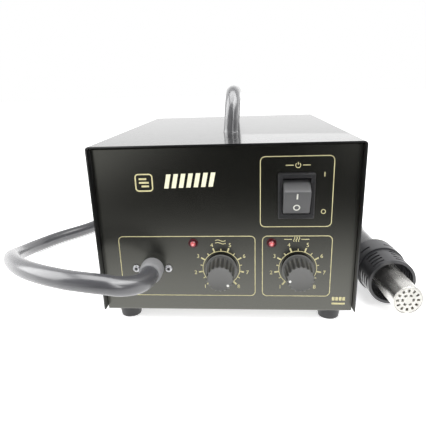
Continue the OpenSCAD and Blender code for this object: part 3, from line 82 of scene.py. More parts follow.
def turn(degrees, axis):
    return Matrix.Rotation(math.radians(degrees), 4, axis)


def on_front(x, z):
    """Local x runs right, y up and z out of the front panel."""
    return CASE @ shift(x, FRONT_Y, z) @ turn(90, "X")


def on_gun(s):
    """Local z runs back along the gun's axis, from s millimetres behind the tip."""
    return CASE @ shift(*GUN_TIP) @ turn(GUN_TURN, "Z") @ turn(-90, "X") @ shift(0, 0, s)


def gun_point(s):
    """The point s millimetres behind the tip, on the gun's axis, in case millimetres."""
    a = math.radians(GUN_TURN)
    return GUN_TIP + s * Vector((-math.sin(a), math.cos(a), 0))


def in_scene(name, data):
    """A new object in the scene, made of a mesh, a curve, a light or a camera."""
    obj = bpy.data.objects.new(name, data)
    bpy.context.scene.collection.objects.link(obj)
    return obj


print("the gun's sleeve ends at", [round(v, 1) for v in gun_point(GUN_LEN)])

# %% [markdown]
# ## Camera
# The camera stands where the photograph's camera stood. It was found by fitting the corners of the
# case, so its focal length, place, tilt and small roll are plain numbers here. The lens value turns
# a focal length in pixels of a 426 pixel frame into Blender's 36 mm sensor.

# %% Camera
FOCAL_PX, FRAME_PX, SENSOR = 412.3, 426, 36.0
CAMERA_AT = CASE @ Vector((15.52, -271.6, 173.9))
azimuth, elevation, roll = (math.radians(v) for v in (4.908, 17.348, -1.977))
level = math.cos(elevation)
back = Vector((math.sin(azimuth) * level, -math.cos(azimuth) * level, math.sin(elevation)))
right0 = (-back).cross(Vector((0, 0, 1))).normalized()
up0 = right0.cross(-back)
right = math.cos(roll) * right0 + math.sin(roll) * up0
up = -math.sin(roll) * right0 + math.cos(roll) * up0
lens = bpy.data.cameras.new("camera")
lens.sensor_width = SENSOR
lens.sensor_fit = "HORIZONTAL"
lens.lens = FOCAL_PX / FRAME_PX * SENSOR
lens.clip_start = 0.01
camera = in_scene("camera", lens)
camera.matrix_world = Matrix.Translation(CAMERA_AT) @ Matrix((right, up, back)).transposed().to_4x4()
bpy.context.scene.camera = camera
print("lens %.2f mm, camera at" % lens.lens, [round(v, 3) for v in camera.location])

# %% [markdown]
# ## Node trees
# Finishes, shapes that repeat, floor and surroundings are all node trees. Three helpers build them:
# one adds a node, one feeds a socket, and a small class lets a sum be written as usual, and puts the
# Math nodes in by itself.

# %% Numbers and nodes
def step(kind, swapped=False):
    """What plus, minus and the others do: they add a Math node of one kind."""
    def work(one, other):
        return one.math(kind, *((other, one) if swapped else (one, other)))
    return work


class Number:
    """A number that runs through a node tree. Plus, minus, times and over become Math nodes."""
    __add__, __sub__, __mul__, __truediv__ = map(step, ("ADD", "SUBTRACT", "MULTIPLY", "DIVIDE"))
    __mod__, __gt__, __lt__ = map(step, ("MODULO", "GREATER_THAN", "LESS_THAN"))
    __rsub__, __rtruediv__ = step("SUBTRACT", True), step("DIVIDE", True)

    def __init__(self, tree, socket):
        self.tree, self.socket = tree, socket

    def math(self, kind, *values):
        node = add(self.tree, "ShaderNodeMath", {"operation": kind})
        for plug, value in zip(node.inputs, values):
            feed(self.tree, plug, value)
        return Number(self.tree, node.outputs[0])

    def to(self, kind, *others):
        """Any other step of a Math node, such as SINE or FLOOR."""
        return self.math(kind, self, *others)

    def ramp(self, x0, x1, y0, y1):
        """Goes smoothly from y0 to y1 as this number goes from x0 to x1."""
        node = add(self.tree, "ShaderNodeMapRange", {"interpolation_type": "SMOOTHSTEP"}, Value=self,
                   From_Min=x0, From_Max=x1, To_Min=y0, To_Max=y1)
        return Number(self.tree, node.outputs[0])


def feed(tree, plug, value):
    """Links a number, a socket or a node's first output to a plug, or sets a plain value."""
    if isinstance(value, Number):
        value = value.socket
    if isinstance(value, bpy.types.Node):
        value = value.outputs[0]
    if isinstance(value, bpy.types.NodeSocket):
        tree.links.new(value, plug)
    else:
        plug.default_value = value


def add(tree, kind, props=None, **sockets):
    """A new node with its settings, and its sockets fed by name."""
    made = tree.nodes.new(kind)
    for key, value in (props or {}).items():
        setattr(made, key, value)
    for key, value in sockets.items():
        feed(tree, made.inputs[key.replace("_", " ")], value)
    return made


def apart(tree, vector):
    """The x, y and z of a vector, as numbers."""
    return [Number(tree, plug) for plug in add(tree, "ShaderNodeSeparateXYZ", Vector=vector).outputs]


print("node helpers ready")

# %% [markdown]
# ## Finishes
# Each finish is one node tree on Principled BSDF. The pattern comes from noise in Object coordinates,
# so it stays on the piece from every side. Three things make a plain colour look like a real surface:
# slow noise that varies the colour, finer noise that varies the roughness, and the finest as bump.

# %% A helper for finishes
def finish(name, color, rough=0.4, metal=0.0, vary=0.12, scale=60.0, rough_vary=0.08,
           grain=900.0, bump=0.05, stretch=(1, 1, 1), **sockets):
    """A Principled material whose colour, roughness and height all vary a little."""
    mat = bpy.data.materials.new(name)
    mat.use_nodes = True
    tree = mat.node_tree
    on_piece = add(tree, "ShaderNodeTexCoord").outputs["Object"]
    place = add(tree, "ShaderNodeMapping", Vector=on_piece, Scale=stretch)
    slow, fine, finest = (add(tree, "ShaderNodeTexNoise", Vector=place, Scale=size, Detail=detail)
                          for size, detail in ((scale, 4), (scale * 5, 3), (grain, 2)))
    shade = add(tree, "ShaderNodeValToRGB", Fac=slow)
    for stop, position, share in zip(shade.color_ramp.elements, (0.3, 0.7), (1 - vary, 1 + vary)):
        stop.position, stop.color = position, (*[min(1, c * share) for c in color], 1)
    gloss = add(tree, "ShaderNodeMapRange", Value=fine, To_Min=max(0.02, rough - rough_vary),
                To_Max=min(1, rough + rough_vary))
    relief = add(tree, "ShaderNodeBump", Height=finest, Strength=bump, Distance=0.0004)
    into_shader(mat, Base_Color=shade, Roughness=gloss, Normal=relief, Metallic=metal, **sockets)
    return mat


def into_shader(mat, **sockets):
    """Feeds sockets of the material's shader. A new link takes the place of an old one."""
    for key, value in sockets.items():
        feed(mat.node_tree, mat.node_tree.nodes["Principled BSDF"].inputs[key.replace("_", " ")], value)
    return mat


print("finish helper ready")

# %% [markdown]
# The case is painted steel. Real paint of this kind has a faint orange peel, so the bump is wide and
# low. The cover is glossier than the panel, and its lacquer gets a coat.

# %% Paints and plastics
cover_paint = finish("cover_paint", (0.006, 0.006, 0.0065), 0.3, vary=0.15, scale=25, rough_vary=0.05,
                     grain=420, bump=0.012, Coat_Weight=1.0, Coat_Roughness=0.02)
panel_paint = finish("panel_paint", (0.0038, 0.0038, 0.003), 0.25, vary=0.1, scale=30, rough_vary=0.02,
                     grain=1500, bump=0.01, IOR=2.0, Specular_Tint=(1, 1, 0.9, 1))
gloss_black = finish("gloss_black", (0.095, 0.095, 0.1), 0.3, vary=0.05, scale=80, rough_vary=0.04,
                     bump=0.01, Specular_IOR_Level=1.0, Coat_Weight=1.0, Coat_Roughness=0.2)
switch_black = finish("switch_black", (0.02, 0.02, 0.021), 0.3, scale=90, grain=1600, bump=0.02,
                      Specular_IOR_Level=0.5)
rocker_black = finish("rocker_black", (0.075, 0.075, 0.077), 0.36, vary=0.04, rough_vary=0.02,
                      bump=0.008, Specular_IOR_Level=0.55)
lamp_rim = finish("lamp_rim", (0.05, 0.004, 0.007), 0.2, scale=150, bump=0.04)
gun_black = finish("gun_black", (0.032, 0.032, 0.035), 0.33, vary=0.15, scale=90, grain=1800, bump=0.04,
                   Specular_IOR_Level=0.8)
matt_black = finish("matt_black", (0.026, 0.026, 0.027), 0.42, vary=0.15, scale=90, grain=1800, bump=0.12)
knob_black = finish("knob_black", (0.08, 0.08, 0.077), 0.36, rough_vary=0.02, grain=700,
                    bump=0.004, Specular_IOR_Level=1.0)
grip_black = finish("grip_black", (0.02, 0.02, 0.021), 0.26, grain=1200, bump=0.05,
                    Coat_Weight=0.4, Coat_Roughness=0.15)
gold_print = finish("gold_print", (0.6, 0.55, 0.3), 0.45, vary=0.1, scale=400, grain=3000, bump=0.1)
pale_gold = finish("pale_gold", (0.8, 0.77, 0.56), 0.45, vary=0.08, scale=400, grain=3000, bump=0.1)
cream_print = finish("cream_print", (0.6, 0.6, 0.54), 0.5, vary=0.06, scale=300, grain=3000, bump=0.05)
white_dot = finish("white_dot", (0.72, 0.72, 0.68), 0.5, vary=0.05, scale=300, grain=2500, bump=0.05)
red_lens = finish("red_lens", (0.55, 0.015, 0.022), 0.12, vary=0.15, scale=150, grain=500, bump=0.01,
                  Coat_Weight=1.0, Coat_Roughness=0.03, Subsurface_Weight=0.25, Subsurface_Scale=0.002)
print("paints and plastics:", len(bpy.data.materials))

# %% Rubber
hose_rubber = finish("hose_rubber", (0.064, 0.064, 0.07), 0.26, vary=0.08, scale=30, rough_vary=0.03,
                     grain=700, bump=0.008, IOR=1.6, Specular_IOR_Level=1.0, Sheen_Weight=0.1,
                     Sheen_Roughness=0.4)
black_rubber = finish("black_rubber", (0.03, 0.03, 0.031), 0.55, vary=0.2, scale=80, grain=1600, bump=0.2,
                      Sheen_Weight=0.1)
outlet_rubber = finish("outlet_rubber", (0.22, 0.22, 0.225), 0.5, vary=0.15, scale=100, grain=1500,
                       bump=0.2, Sheen_Weight=0.1)

# %% [markdown]
# Metals differ by how they were made. Drawn and brushed steel has fine lines along one way, so its
# noise is stretched. Plated screws are smooth, and cast metal is coarse and dull.

# %% Metals and ceramics
stainless = finish("stainless", (0.72, 0.71, 0.68), 0.26, 0.9, vary=0.08, scale=70, rough_vary=0.04,
                   bump=0.04, stretch=(1, 0.12, 1))
pipe_steel = finish("pipe_steel", (0.74, 0.73, 0.7), 0.27, 0.95, vary=0.06, scale=50, rough_vary=0.03,
                    grain=700, bump=0.02, stretch=(1, 0.12, 1), Anisotropic=0.85, Anisotropic_Rotation=0.25)
zinc = finish("zinc", (0.62, 0.62, 0.64), 0.28, 1.0, vary=0.08, scale=220, grain=1200, bump=0.05)
black_screw = finish("black_screw", (0.03, 0.03, 0.032), 0.35, 0.6, vary=0.15, scale=250, grain=1500,
                     bump=0.08)
galvanised = finish("galvanised", (0.55, 0.56, 0.57), 0.42, 0.9, vary=0.18, scale=55, grain=600, bump=0.06)
cast_metal = finish("cast_metal", (0.6, 0.61, 0.62), 0.55, 0.85, vary=0.1, scale=80, grain=700, bump=0.25)
brass = finish("brass", (0.62, 0.46, 0.2), 0.3, 1.0, vary=0.1, scale=120, bump=0.05)
heater_alloy = finish("heater_alloy", (0.42, 0.36, 0.3), 0.4, 1.0, vary=0.2, scale=200, grain=1500,
                      bump=0.1)
ceramic = finish("ceramic", (0.66, 0.65, 0.61), 0.65, vary=0.06, scale=140, grain=1400, bump=0.15)
mica = finish("mica", (0.5, 0.42, 0.28), 0.3, vary=0.25, scale=120, grain=500, bump=0.1)
# a pipe is polished round and round, so its highlights are drawn out along it
polish = add(pipe_steel.node_tree, "ShaderNodeTangent", {"direction_type": "RADIAL", "axis": "Y"})
into_shader(pipe_steel, Tangent=polish)
print("all plain finishes:", len(bpy.data.materials))

# %% Finishes with a pattern
def bands(mat, low, high, wave_scale, direction="Z", distortion=0.0):
    """Fine parallel lines, as on a winding or a stack of plates."""
    tree = mat.node_tree
    wave = add(tree, "ShaderNodeTexWave", {"bands_direction": direction}, Scale=wave_scale,
               Distortion=distortion, Vector=tree.nodes["Texture Coordinate"].outputs["Object"])
    mix = add(tree, "ShaderNodeMix", {"data_type": "RGBA"})
    for plug, value in ((0, wave.outputs["Fac"]), (6, (*low, 1)), (7, (*high, 1))):
        feed(tree, mix.inputs[plug], value)
    return into_shader(mat, Base_Color=mix.outputs[2])


lamination = bands(finish("lamination", (0.2, 0.2, 0.21), 0.4, 0.7, bump=0.1),
                   (0.1, 0.1, 0.11), (0.3, 0.31, 0.33), 330, "Y")
pump_plates = bands(finish("pump_plates", (0.2, 0.2, 0.21), 0.4, 0.7, bump=0.1),
                    (0.1, 0.1, 0.11), (0.3, 0.31, 0.33), 330, "Z")
copper_wire = bands(finish("copper_wire", (0.5, 0.2, 0.08), 0.3, 0.85, bump=0.1),
                    (0.3, 0.1, 0.035), (0.62, 0.27, 0.11), 420, "X")
winding_tape = bands(finish("winding_tape", (0.7, 0.52, 0.08), 0.3, grain=700, bump=0.06),
                     (0.58, 0.42, 0.06), (0.78, 0.6, 0.12), 60, "Z", 1.0)
board_green = bands(finish("board_green", (0.03, 0.18, 0.06), 0.25, grain=500, bump=0.04, Coat_Weight=0.5),
                    (0.02, 0.13, 0.045), (0.05, 0.24, 0.09), 90, "DIAGONAL", 6.0)
block_green = finish("block_green", (0.06, 0.3, 0.13), 0.4, scale=100, grain=1500, bump=0.08)
capacitor_sleeve = bands(finish("capacitor_sleeve", (0.03, 0.06, 0.2), 0.25, grain=500, bump=0.03),
                         (0.02, 0.045, 0.17), (0.04, 0.07, 0.24), 30, "Z", 2.0)
lead_sleeve = finish("lead_sleeve", (0.26, 0.09, 0.045), 0.4, scale=100, grain=1500, bump=0.05)
clear_tube = finish("clear_tube", (0.62, 0.62, 0.56), 0.3, grain=700, bump=0.04,
                    Subsurface_Weight=0.3, Subsurface_Scale=0.003)
fuse_glass = bands(finish("fuse_glass", (0.8, 0.82, 0.84), 0.08, grain=500, bump=0.0, Coat_Weight=1.0),
                   (0.55, 0.57, 0.6), (0.85, 0.87, 0.88), 25, "Y")


def color_by(mat, number, stops):
    """The colour follows a number that is kept on the mesh, through a ramp of (place, colour)."""
    read = add(mat.node_tree, "ShaderNodeAttribute", {"attribute_name": number})
    ramp = add(mat.node_tree, "ShaderNodeValToRGB", Fac=read.outputs["Fac"])
    for place, _ in stops[1:-1]:
        ramp.color_ramp.elements.new(place)
    for stop, (place, color) in zip(ramp.color_ramp.elements, stops):
        stop.position, stop.color = place, (*color, 1)
    into_shader(mat, Base_Color=ramp)


# painted shade and dust: the flutes are coloured darker than the ridges
color_by(knob_black, "groove", [(0, (0.088, 0.088, 0.084)), (1, (0.025, 0.025, 0.025))])
print("all finishes:", len(bpy.data.materials))

# %% [markdown]
# ## Finishes for the CAD pieces
# A piece whose CAD shape is right keeps it and only gets a finish. The list says which finish each
# one takes, also for the pieces inside, because the cover may be taken off in another scene.

# %% Dress the CAD pieces
FINISH_OF = {
    cover_paint: ["cover"],
    panel_paint: ["chassis"],
    black_rubber: ["rubber_feet", "pump_mounts", "pump_diaphragms", "gun_boot"],
    zinc: ["foot_bolts", "handle_screws", "control_nuts", "outlet_screws", "head_screws",
           "transformer_screws", "board_screws", "gun_screws"],
    black_screw: ["cover_screws", "inlet_screws"],
    gloss_black: ["carry_handle"],
    switch_black: ["switch_housing", "switch_rocker"],
    brass: ["switch_terminals", "board_posts", "inlet_pins"],
    knob_black: ["air_knob", "heater_knob"],
    stainless: ["air_spindle", "heater_spindle", "gun_pipe"],
    galvanised: ["air_control", "heater_control", "pump_frame", "transformer_strap"],
    red_lens: ["lamp_lenses"],
    matt_black: ["lamp_rings", "triac", "power_inlet", "fuse_holder", "fuse_cap", "gun_collar", "gun_guard",
                 "gun_tail"],
    outlet_rubber: ["hose_outlet"],
    hose_rubber: ["air_hose"],
    pump_plates: ["pump_cores", "pump_armature"],
    copper_wire: ["pump_coils"],
    cast_metal: ["pump_heads", "heat_sink"],
    clear_tube: ["air_tubes"],
    lamination: ["transformer_core"],
    winding_tape: ["transformer_winding"],
    board_green: ["control_board"],
    capacitor_sleeve: ["capacitors"],
    block_green: ["terminal_blocks"],
    fuse_glass: ["fuse"],
    lead_sleeve: ["mains_leads"],
    ceramic: ["heater_disc", "heater_former"],
    heater_alloy: ["heater_wire"],
    mica: ["mica_sleeve"],
    grip_black: ["gun_grip"],
}
dressed = set()
for mat, names in FINISH_OF.items():
    for name in names:
        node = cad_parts[name]
        if not node.material_slots:
            node.data.materials.append(mat)
        for slot in node.material_slots:
            slot.material = mat
        dressed.add(name)
left_bare = sorted(set(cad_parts) - dressed)
print("dressed %d CAD pieces, bare: %s" % (len(dressed), left_bare))

# %% [markdown]
# ## Helpers for finer pieces
# Every new piece is one mesh whose place is in its vertices, so its object stays at the origin. Round
# pieces are turned from a profile, tubes are swept along a line, and everything else is a row of
# outlines that are joined. Faces are shaded smooth and the edges that are really sharp are marked by
# their angle.


def piece(name, verts, faces, mat, body, frame_matrix=CASE, sharp=30, replaced=(), bevel=0.0):
    """A finished piece, which rides on its body. Its vertices are in the millimetres of frame_matrix."""
    mesh = bpy.data.meshes.new(name)
    mesh.from_pydata([frame_matrix @ Vector(v) for v in verts], [], faces)
    bm = bmesh.new()
    bm.from_mesh(mesh)
    bmesh.ops.remove_doubles(bm, verts=bm.verts, dist=1e-7)
    bmesh.ops.recalc_face_normals(bm, faces=bm.faces)
    for face in bm.faces:
        face.smooth = True
    for edge in bm.edges:
        edge.smooth = len(edge.link_faces) == 2 and edge.calc_face_angle(0) < math.radians(sharp)
    bm.to_mesh(mesh)
    bm.free()
    mesh.materials.append(mat)
    obj = in_scene(name, mesh)
    if bevel:
        rounding = obj.modifiers.new("rounding", "BEVEL")
        rounding.width = bevel * MM
        rounding.segments = 2
        rounding.limit_method = "ANGLE"
        rounding.angle_limit = math.radians(40)
    if body:
        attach(obj, body)
    if replaced:
        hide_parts(*replaced)
    return obj


def lathe(profile, sides=96, closed=False, radius=None):
    """Turns a profile of (r, z) points about z. radius(angle, r, z) may change r, as for flutes."""
    verts, faces, ring = [], [], []
    for r, z in profile:
        if r < 1e-6:
            ring.append([len(verts)] * sides)
            verts.append((0, 0, z))
            continue
        ring.append(list(range(len(verts), len(verts) + sides)))
        for k in range(sides):
            a = 2 * math.pi * k / sides
            rr = radius(a, r, z) if radius else r
            verts.append((rr * math.cos(a), rr * math.sin(a), z))
    pairs = list(zip(ring, ring[1:])) + ([(ring[-1], ring[0])] if closed else [])
    for low, high in pairs:
        for k in range(sides):
            n = (k + 1) % sides
            face = list(dict.fromkeys((low[k], low[n], high[n], high[k])))
            if len(face) > 2:
                faces.append(face)
    return verts, faces


def arc(cx, cz, r, start, end, steps=8, tall=None):
    """Points of a rounded edge, by angles in degrees. It is an ellipse where tall isn't r."""
    angles = [math.radians(start + (end - start) * i / steps) for i in range(steps + 1)]
    return [(cx + r * math.cos(a), cz + (tall or r) * math.sin(a)) for a in angles]


def loft(loops, closed=False):
    """Joins outlines of equal count, given as lists of points, and caps both ends or closes the ring."""
    n, last = len(loops[0]), len(loops) - 1
    verts = [p for loop in loops for p in loop]
    pairs = [(i, i + 1) for i in range(last)] + ([(last, 0)] if closed else [])
    faces = [(a * n + k, a * n + (k + 1) % n, b * n + (k + 1) % n, b * n + k)
             for a, b in pairs for k in range(n)]
    if not closed:
        faces += [list(range(n))[::-1], list(range(n * last, n * last + n))]
    return verts, faces


def sweep(line, radius, sides=32, reference=(0, 0, 1)):
    """A round tube along a line, with capped ends."""
    line = [Vector(p) for p in line]
    ref, loops, last = Vector(reference), [], len(line) - 1
    angles = [2 * math.pi * k / sides for k in range(sides)]
    for i, point in enumerate(line):
        ahead = (line[min(i + 1, last)] - line[max(i - 1, 0)]).normalized()
        across = ahead.cross(ref).normalized()
        above = across.cross(ahead)
        loops.append([point + radius * (math.cos(a) * across + math.sin(a) * above) for a in angles])
    return loft(loops)


def smooth_line(points, steps):
    """A Catmull-Rom line through the points. Its ends keep the bend of their neighbours."""
    p = [Vector(v) for v in points]
    p = [3 * p[0] - 3 * p[1] + p[2]] + p + [3 * p[-1] - 3 * p[-2] + p[-3]]
    line = []
    for a, b, c, d in zip(p, p[1:], p[2:], p[3:]):
        for s in range(steps):
            t = s / steps
            line.append(0.5 * (2 * b + (c - a) * t + (2 * a - 5 * b + 4 * c - d) * t * t
                               + (3 * b - a - 3 * c + d) * t ** 3))
    return line + [p[-2]]


def at_height(outline, z):
    return [(x, y, z) for x, y in outline]


def prism(outline, low, high):
    """A flat outline (x, y) raised from low to high along z."""
    return loft([at_height(outline, low), at_height(outline, high)])


def hoop(outer, inner, low, high):
    """The ring between two outlines, raised from low to high."""
    corners = ((outer, low), (outer, high), (inner, high), (inner, low))
    return loft([at_height(outline, z) for outline, z in corners], True)


def rounded(w, h, r, steps=6):
    """The outline of a rectangle with round corners."""
    points = []
    for cx, cy, start in ((1, 1, 0), (-1, 1, 90), (-1, -1, 180), (1, -1, 270)):
        points += arc(cx * (w / 2 - r), cy * (h / 2 - r), r, start, start + 90, steps)
    return points


def join(*parts):
    """Several (verts, faces) as one."""
    verts, faces = [], []
    for v, f in parts:
        faces += [[i + len(verts) for i in face] for face in f]
        verts += list(v)
    return verts, faces


def moved(part, matrix):
    return [matrix @ Vector(v) for v in part[0]], part[1]


print("helpers ready")

# %% [markdown]
# ## Air hose
# The hose is a fixed length of thick rubber. It is straight for a moment where it leaves the outlet,
# bends round to the left, sinks to the table under its own weight, and runs behind the case to the
# gun. The route's points are those of the CAD model, joined by one smooth line, and the line's own
# length is the hose's length. The rear stretch bends between the case and the gun.

# %% The hose
HOSE_D, HOSE_LEAD, BEND_RISE = 13.5, 3.0, 17.3
OUTLET_X, OUTLET_Z, OUTLET_REACH = -55.0, 44.0, 11.0
BEND = 2 * HOSE_D
leaves_y = FRONT_Y - OUTLET_REACH
hose_start = Vector((OUTLET_X, leaves_y, OUTLET_Z))
hose_points = [
    (OUTLET_X - BEND * (1 - math.cos(a)), leaves_y - HOSE_LEAD - BEND * math.sin(a),
     OUTLET_Z + BEND_RISE / 2 * (1 - math.cos(a)))
    for a in (math.radians(20 * i) for i in range(5))
] + [
    (-89.6, -35.6, 53.2), (-105, -32.9, 53.9), (-125.2, -24.1, 53.2), (-147.3, -7.7, 49.9),
    (-171.5, 20.1, 42.8), (-190.8, 48.8, 33.8), (-207.2, 77.2, 23.5), (-218.2, 110.2, 13.6),
    (-217.8, 143.2, 8), (-205.7, 170.6, 7), (-182.9, 201, 7), (-162.3, 241, 7), (-135, 284, 7),
    (-114, 335, 7), (-87, 386, 7), (-43, 423, 7), (14, 439, 7), (69, 428, 7.5), (111, 391, 9),
    (129, 338, 12.5), (123, 282, 17.5), gun_point(GUN_LEN + 16),
]
hose_line = [hose_start] + smooth_line(hose_points, 10) + [gun_point(GUN_LEN)]
hose = piece("hose", *sweep(hose_line, HOSE_D / 2, 40), hose_rubber, None, sharp=60, replaced=["air_hose"])
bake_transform(hose)

# %% [markdown]
# ## Carry handle
# The handle is one round bar bent twice. Its gloss shows every facet, so it is swept again along its
# middle line with many more sides than the CAD model has, and each end gets a short turned foot that
# is hardly wider than the bar. The whole handle leans four degrees to the right, as the real one does,
# and its feet are cut level with the cover.

# %% Handle
HANDLE_X, HANDLE_D, HANDLE_TOP, BEND_R, HANDLE_LEAN = 3.0, 11.5, CASE_TOP + 36, 20.0, 4.0
POST_FRONT, POST_REAR, SUNK = 70.0, 166.0, 2.0
corner_z = HANDLE_TOP - HANDLE_D / 2 - BEND_R
quarter = arc(0, 0, BEND_R, 0, 90, 14)
handle_line = [(HANDLE_X, POST_FRONT, CASE_TOP + 3)]
handle_line += [(HANDLE_X, POST_FRONT + BEND_R - y, corner_z + z) for y, z in quarter]
handle_line += [(HANDLE_X, POST_REAR - BEND_R + y, corner_z + z) for y, z in quarter[::-1]]
handle_line += [(HANDLE_X, POST_REAR, CASE_TOP + 3)]
foot_profile = [(0, -SUNK), (6.05, -SUNK), (6.05, 0.2), (5.85, 0.7), (5.78, 1.6), (5.75, 3.2), (0, 3.2)]
bar_tube = sweep(handle_line, HANDLE_D / 2, 48, (1, 0, 0))
feet = [moved(lathe(foot_profile, 48), shift(HANDLE_X, y, CASE_TOP))
        for y in (POST_FRONT, POST_REAR)]
at_foot = shift(HANDLE_X, 0, CASE_TOP)
lean = at_foot @ turn(HANDLE_LEAN, "Y") @ at_foot.inverted()
leaned, handle_faces = moved(join(bar_tube, *feet), lean)
seated = [(v.x, v.y, max(v.z, CASE_TOP)) for v in leaned]
handle = piece("handle", seated, handle_faces, gloss_black, "case", sharp=50, replaced=["carry_handle"])
print("handle:", len(handle.data.polygons), "faces")

# %% [markdown]
# ## Geometry Nodes for what repeats
# Screws, tick marks, holes and slots are the same shape many times over, or a shape that follows a
# rule. Each is one small node tree with its sizes as named inputs. The tree is run once, its result is
# kept as a plain mesh, and the modifier goes. This class builds a tree, feeds its inputs by their
# identifiers, and gives back the result.

# %% Trees and their results
def result_of(obj):
    """The final shape of an object as (verts, faces) for piece(). The object goes."""
    bpy.context.view_layer.update()
    mesh = bpy.data.meshes.new_from_object(obj.evaluated_get(bpy.context.evaluated_depsgraph_get()))
    verts = [v.co.copy() for v in mesh.vertices]
    faces = [list(f.vertices) for f in mesh.polygons]
    bpy.data.objects.remove(obj)
    bpy.data.meshes.remove(mesh)
    return verts, faces


class Tree:
    """A Geometry Nodes tree in the making. Its last step is Realize Instances and Set Material."""

    def __init__(self, name, **inputs):
        self.group = bpy.data.node_groups.new(name, "GeometryNodeTree")
        kinds = {float: "Float", int: "Int", str: "Object"}
        sockets = [("Geometry", "INPUT", "Geometry")]
        sockets += [(key, "INPUT", kinds[type(value)]) for key, value in inputs.items()]
        sockets += [("Material", "INPUT", "Material"), ("Geometry", "OUTPUT", "Geometry")]
        for key, side, kind in sockets:
            socket = self.group.interface.new_socket(key, in_out=side, socket_type="NodeSocket" + kind)
            if kind in ("Float", "Int"):
                socket.default_value = inputs[key]
        self.entry = self.node("NodeGroupInput")

    def given(self, name):
        """One of the tree's own inputs."""
        return Number(self.group, self.entry.outputs[name])

    def node(self, kind, props=None, **sockets):
        return add(self.group, kind, props, **sockets)

    def index(self):
        return Number(self.group, self.node("GeometryNodeInputIndex").outputs[0])

    def place(self):
        """The x, y and z of each vertex."""
        return apart(self.group, self.node("GeometryNodeInputPosition"))

    def point(self, x, y, z):
        return self.node("ShaderNodeCombineXYZ", X=x, Y=y, Z=z)

    def around(self, angle, radius, z):
        """The point at an angle and a distance from the middle."""
        return self.point(angle.to("COSINE") * radius, angle.to("SINE") * radius, z)

    def ring_of(self, part, count, angle, radius, z):
        """A part on each of some points round the middle, turned to point at it."""
        points = self.node("GeometryNodePoints", Count=count, Position=self.around(angle, radius, z))
        turn = self.node("FunctionNodeEulerToRotation", Euler=self.point(0.0, 0.0, angle))
        return self.node("GeometryNodeInstanceOnPoints", Points=points, Instance=part, Rotation=turn)

    def close(self, geometry):
        real = self.node("GeometryNodeRealizeInstances", Geometry=geometry)
        dressed = self.node("GeometryNodeSetMaterial", Geometry=real, Material=self.given("Material"))
        feed(self.group, self.node("NodeGroupOutput").inputs[0], dressed)
        print(self.group.name, "tree:", len(self.group.nodes), "nodes")

    def run(self, mat, start=None, **values):
        """The tree's result, with these values for its inputs."""
        mesh = start or bpy.data.meshes.new("start")
        obj = in_scene("start", mesh)
        modifier = obj.modifiers.new("rule", "NODES")
        modifier.node_group = self.group
        values["Material"] = mat
        for item in self.group.interface.items_tree:
            if item.in_out == "INPUT" and item.name in values:
                modifier[item.identifier] = values[item.name]
        made = result_of(obj)
        bpy.data.meshes.remove(mesh)
        return made


print("trees ready")

# %% [markdown]
# Small fasteners use one tree: it puts a copy of one shape at every vertex of a mesh of places, and
# turns each copy by the angles that its vertex carries.

# %% Tree: copies at places
copies = Tree("copies_at_places", Shape="object")
shape = copies.node("GeometryNodeObjectInfo", Object=copies.given("Shape"))
turns = copies.node("GeometryNodeInputNamedAttribute", {"data_type": "FLOAT_VECTOR"}, Name="turn")
turned = copies.node("FunctionNodeEulerToRotation", Euler=turns)
copies.close(copies.node("GeometryNodeInstanceOnPoints", Points=copies.given("Geometry"),
                         Instance=shape.outputs["Geometry"], Rotation=turned))


def copies_of(part, places, mat):
    """Copies of (verts, faces) at (point, euler) places."""
    mesh = bpy.data.meshes.new("shape")
    mesh.from_pydata([tuple(v) for v in part[0]], [], part[1])
    obj = in_scene("shape", mesh)
    start = bpy.data.meshes.new("places")
    start.from_pydata([tuple(p) for p, _ in places], [], [])
    turn_of = start.attributes.new("turn", "FLOAT_VECTOR", "POINT")
    for i, (_, euler) in enumerate(places):
        turn_of.data[i].vector = euler
    made = copies.run(mat, start, Shape=obj)
    bpy.data.objects.remove(obj)
    bpy.data.meshes.remove(mesh)
    return made


# %% [markdown]
# ## Front panel print
# The panel is screen printed in pale gold. A print is a thin film, so each mark is a very thin solid
# that stands 0.05 mm on the paint. The frames are rounded rectangles, and plain signs mark what each
# control is for.

# %% Frames on the panel
INK = 0.05
PANEL = on_front(0, 0)


def frame_line(x0, x1, z0, z1, r=3.6, wide=0.53):
    w, h = x1 - x0, z1 - z0
    outer, inner = rounded(w, h, r), rounded(w - 2 * wide, h - 2 * wide, r - wide)
    return moved(hoop(outer, inner, 0, INK), shift((x0 + x1) / 2, (z0 + z1) / 2))


def bar(x, y, w, h, r=0.15):
    return moved(prism(rounded(w, h, r, 2), 0, INK), shift(x, y))


def ring_mark(x, y, r, wide, start=0, end=360, steps=48):
    outer = arc(x, y, r, start, end, steps)
    inner = arc(x, y, r - wide, start, end, steps)
    if end - start >= 360:
        return hoop(outer[:-1], inner[:-1], 0, INK)
    return prism(outer + inner[::-1], 0, INK)


def wave(x, y, length, rise, wide, upright=False, steps=24):
    """A wavy stroke: warm air or moving air."""
    top, low = [], []
    for i in range(steps + 1):
        s = i / steps * length - length / 2
        off = rise * math.sin(2 * math.pi * i / steps)
        slope = rise * 2 * math.pi / length * math.cos(2 * math.pi * i / steps)
        n = 1 / math.hypot(1, slope)
        top.append((s - slope * n * wide / 2, off + n * wide / 2))
        low.append((s + slope * n * wide / 2, off - n * wide / 2))
    points = top + low[::-1]
    if upright:
        points = [(-b, a) for a, b in points]
    return prism([(x + a, y + b) for a, b in points], 0, INK)


POWER_BOX, AIR_BOX, HEATER_BOX = (24.7, 74.5, 76, 126.5), (-79, 21.5, 21.5, 69.5), (26.3, 75.9, 21.5, 69.5)
frames = join(*[frame_line(*box) for box in (POWER_BOX, AIR_BOX, HEATER_BOX)])
piece("panel_frames", *frames, gold_print, "case", PANEL, sharp=40)
print("frames:", len(frames[1]), "faces")

